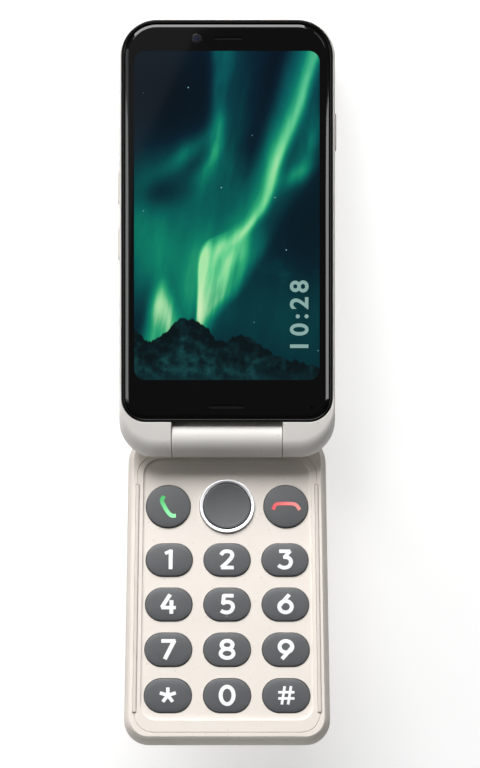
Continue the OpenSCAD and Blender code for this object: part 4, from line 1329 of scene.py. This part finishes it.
def nav_cluster():
    def face(px, py):
        share = (px ** 2 + (py - NAV_Y) ** 2) / OK_R ** 2
        return KEY_TOP - HOLLOW * max(0.0, 1 - share)

    loop = circles(0, NAV_Y, OK_R, 96)
    edge = [(0, KEY_TOP - 1.65)] + rounded_edge(0, KEY_TOP - 0.36, 0.36, 0.36, 7)
    rings = [ring(loop(inset), z) for inset, z in edge]
    rings += [ring(loop(0.36 + (OK_R - 0.6) * i / 12), face) for i in range(1, 13)]
    low = local_box("ok_key", FLAP)[0].z
    post = solid(circles(0, NAV_Y, 2, 32),
                 [(0.2, low), (0, low + 0.15), (0, KEY_TOP - 1.6)])
    piece("ok_cap", [(loft(rings), KEY_GREY), (post, KEY_GREY)], FLAP, BODY_OF["ok_key"],
          ["ok_key"])

    top = local_box("nav_ring", FLAP)[1].z
    outer, inner = RING_OUTER, RING_INNER
    base = FLANGE_TOP - 0.7
    profile = [(inner, base), (outer + 0.6, base), (outer + 0.65, base + 0.05),
               (outer + 0.65, base + 0.4), (outer + 0.6, base + 0.45), (outer, base + 0.45),
               (outer, top - 0.22), (outer - 0.03, top - 0.1), (outer - 0.1, top - 0.02),
               (outer - 0.2, top), (outer - 0.32, top - 0.01), (inner + 0.12, top - 0.08),
               (inner + 0.03, top - 0.13), (inner, top - 0.24)]
    body = loft([ring(circle(0, NAV_Y, r, 120), z) for r, z in profile], closed=True)
    feet = [solid(circles(8.1 * math.cos(a), NAV_Y + 8.1 * math.sin(a), 0.6, 24),
                  [(0.1, base - 0.75), (0, base - 0.65), (0, base + 0.1)])
            for a in [math.pi / 2 * i for i in range(4)]]
    piece("nav_band", [(body, NAV_METAL)] + [(foot, NAV_METAL) for foot in feet], FLAP,
          BODY_OF["nav_ring"], ["nav_ring"])


# ---- Light and floor ----

def area_light(name, at, aim, size, watts, diffuse=True, roll=0):
    """Rectangular light at a place in the display's millimetres, facing another place."""
    data = bpy.data.lights.new(name, "AREA")
    data.shape = "RECTANGLE"
    data.size, data.size_y = size[0] * MM, size[1] * MM
    data.energy = watts
    light = bpy.data.objects.new(name, data)
    bpy.context.scene.collection.objects.link(light)
    place, target = DISPLAY @ Vector(at), DISPLAY @ Vector(aim)
    light.matrix_world = Matrix.Translation(place) @ (place - target).to_track_quat(
        "Z", "Y").to_matrix().to_4x4() @ Matrix.Rotation(math.radians(roll), 4, "Z")
    light.visible_diffuse = diffuse
    return light


def add_lights():
    aim = (0, 10, 0)
    area_light("top_softbox", (-250, 1110, 541), aim, (1100, 1000), 26.5)
    area_light("left_softbox", (-1000, 150, 620), aim, (700, 900), 2.2)
    area_light("front_fill", (0, -1100, 200), (0, -60, 0), (900, 300), 2.7)
    area_light("left_card", (-950, 100, 520), aim, (300, 1000), 2.6, diffuse=False)
    area_light("right_card", (950, 100, 520), aim, (300, 1000), 5, diffuse=False)
    area_light("ring_card", (700, 780, 1000), aim, (500, 500), 2, diffuse=False)
    area_light("wedge_card", (-322, 373, 1000), (-322, 373, 0), (600, 600), 0.2, diffuse=False,
               roll=-25.6)


def add_world():
    world = bpy.data.worlds.new("studio")
    bpy.context.scene.world = world
    world.use_nodes = True
    tree = world.node_tree
    tree.nodes.clear()
    out = tree.nodes.new("ShaderNodeOutputWorld")
    mix = tree.nodes.new("ShaderNodeMixShader")
    path = tree.nodes.new("ShaderNodeLightPath")
    room, backdrop = tree.nodes.new("ShaderNodeBackground"), tree.nodes.new("ShaderNodeBackground")
    room.inputs["Color"].default_value = (0.045, 0.045, 0.045, 1)
    backdrop.inputs["Color"].default_value = (1.0, 1.0, 1.0, 1)
    tree.links.new(path.outputs["Is Camera Ray"], mix.inputs["Fac"])
    tree.links.new(room.outputs[0], mix.inputs[1])
    tree.links.new(backdrop.outputs[0], mix.inputs[2])
    tree.links.new(mix.outputs[0], out.inputs["Surface"])


def add_floor():
    paint = Paint("studio_floor")
    shade = paint.ramp(paint.noise(160, 2), (0.3, srgb(246, 246, 246)), (0.7, srgb(250, 250, 250)))
    paint.surface(Base_Color=shade, Roughness=0.85, Emission_Color=shade,
                  Emission_Strength=0.45)
    floor = object_of(prism(circle(0, 0, 3000, 96), -40, 0), "studio_floor")
    floor.data.transform(Matrix.Scale(MM, 4))
    floor.data.materials.append(paint.material)
    floor.visible_glossy = False


def dress_cad_nodes():
    """Inner CAD nodes stay as they are, with their slot's material."""
    for node, thing in NODES.items():
        thing.data.materials.clear()
        thing.data.materials.append(SLOT_MATERIALS[SLOT_OF[node]])


dress_cad_nodes()
display_shell()
bezel_and_glass()
grilles()
add_picture()
side_keys()
back_pieces()
usb_port()
barrel()
flap_front()
flap_rear()
screws()
bumpers()
digit_keys()
round_keys()
nav_cluster()
add_lights()
add_world()
add_floor()
bpy.context.scene.view_settings.view_transform = "Standard"

bpy.context.view_layer.update()
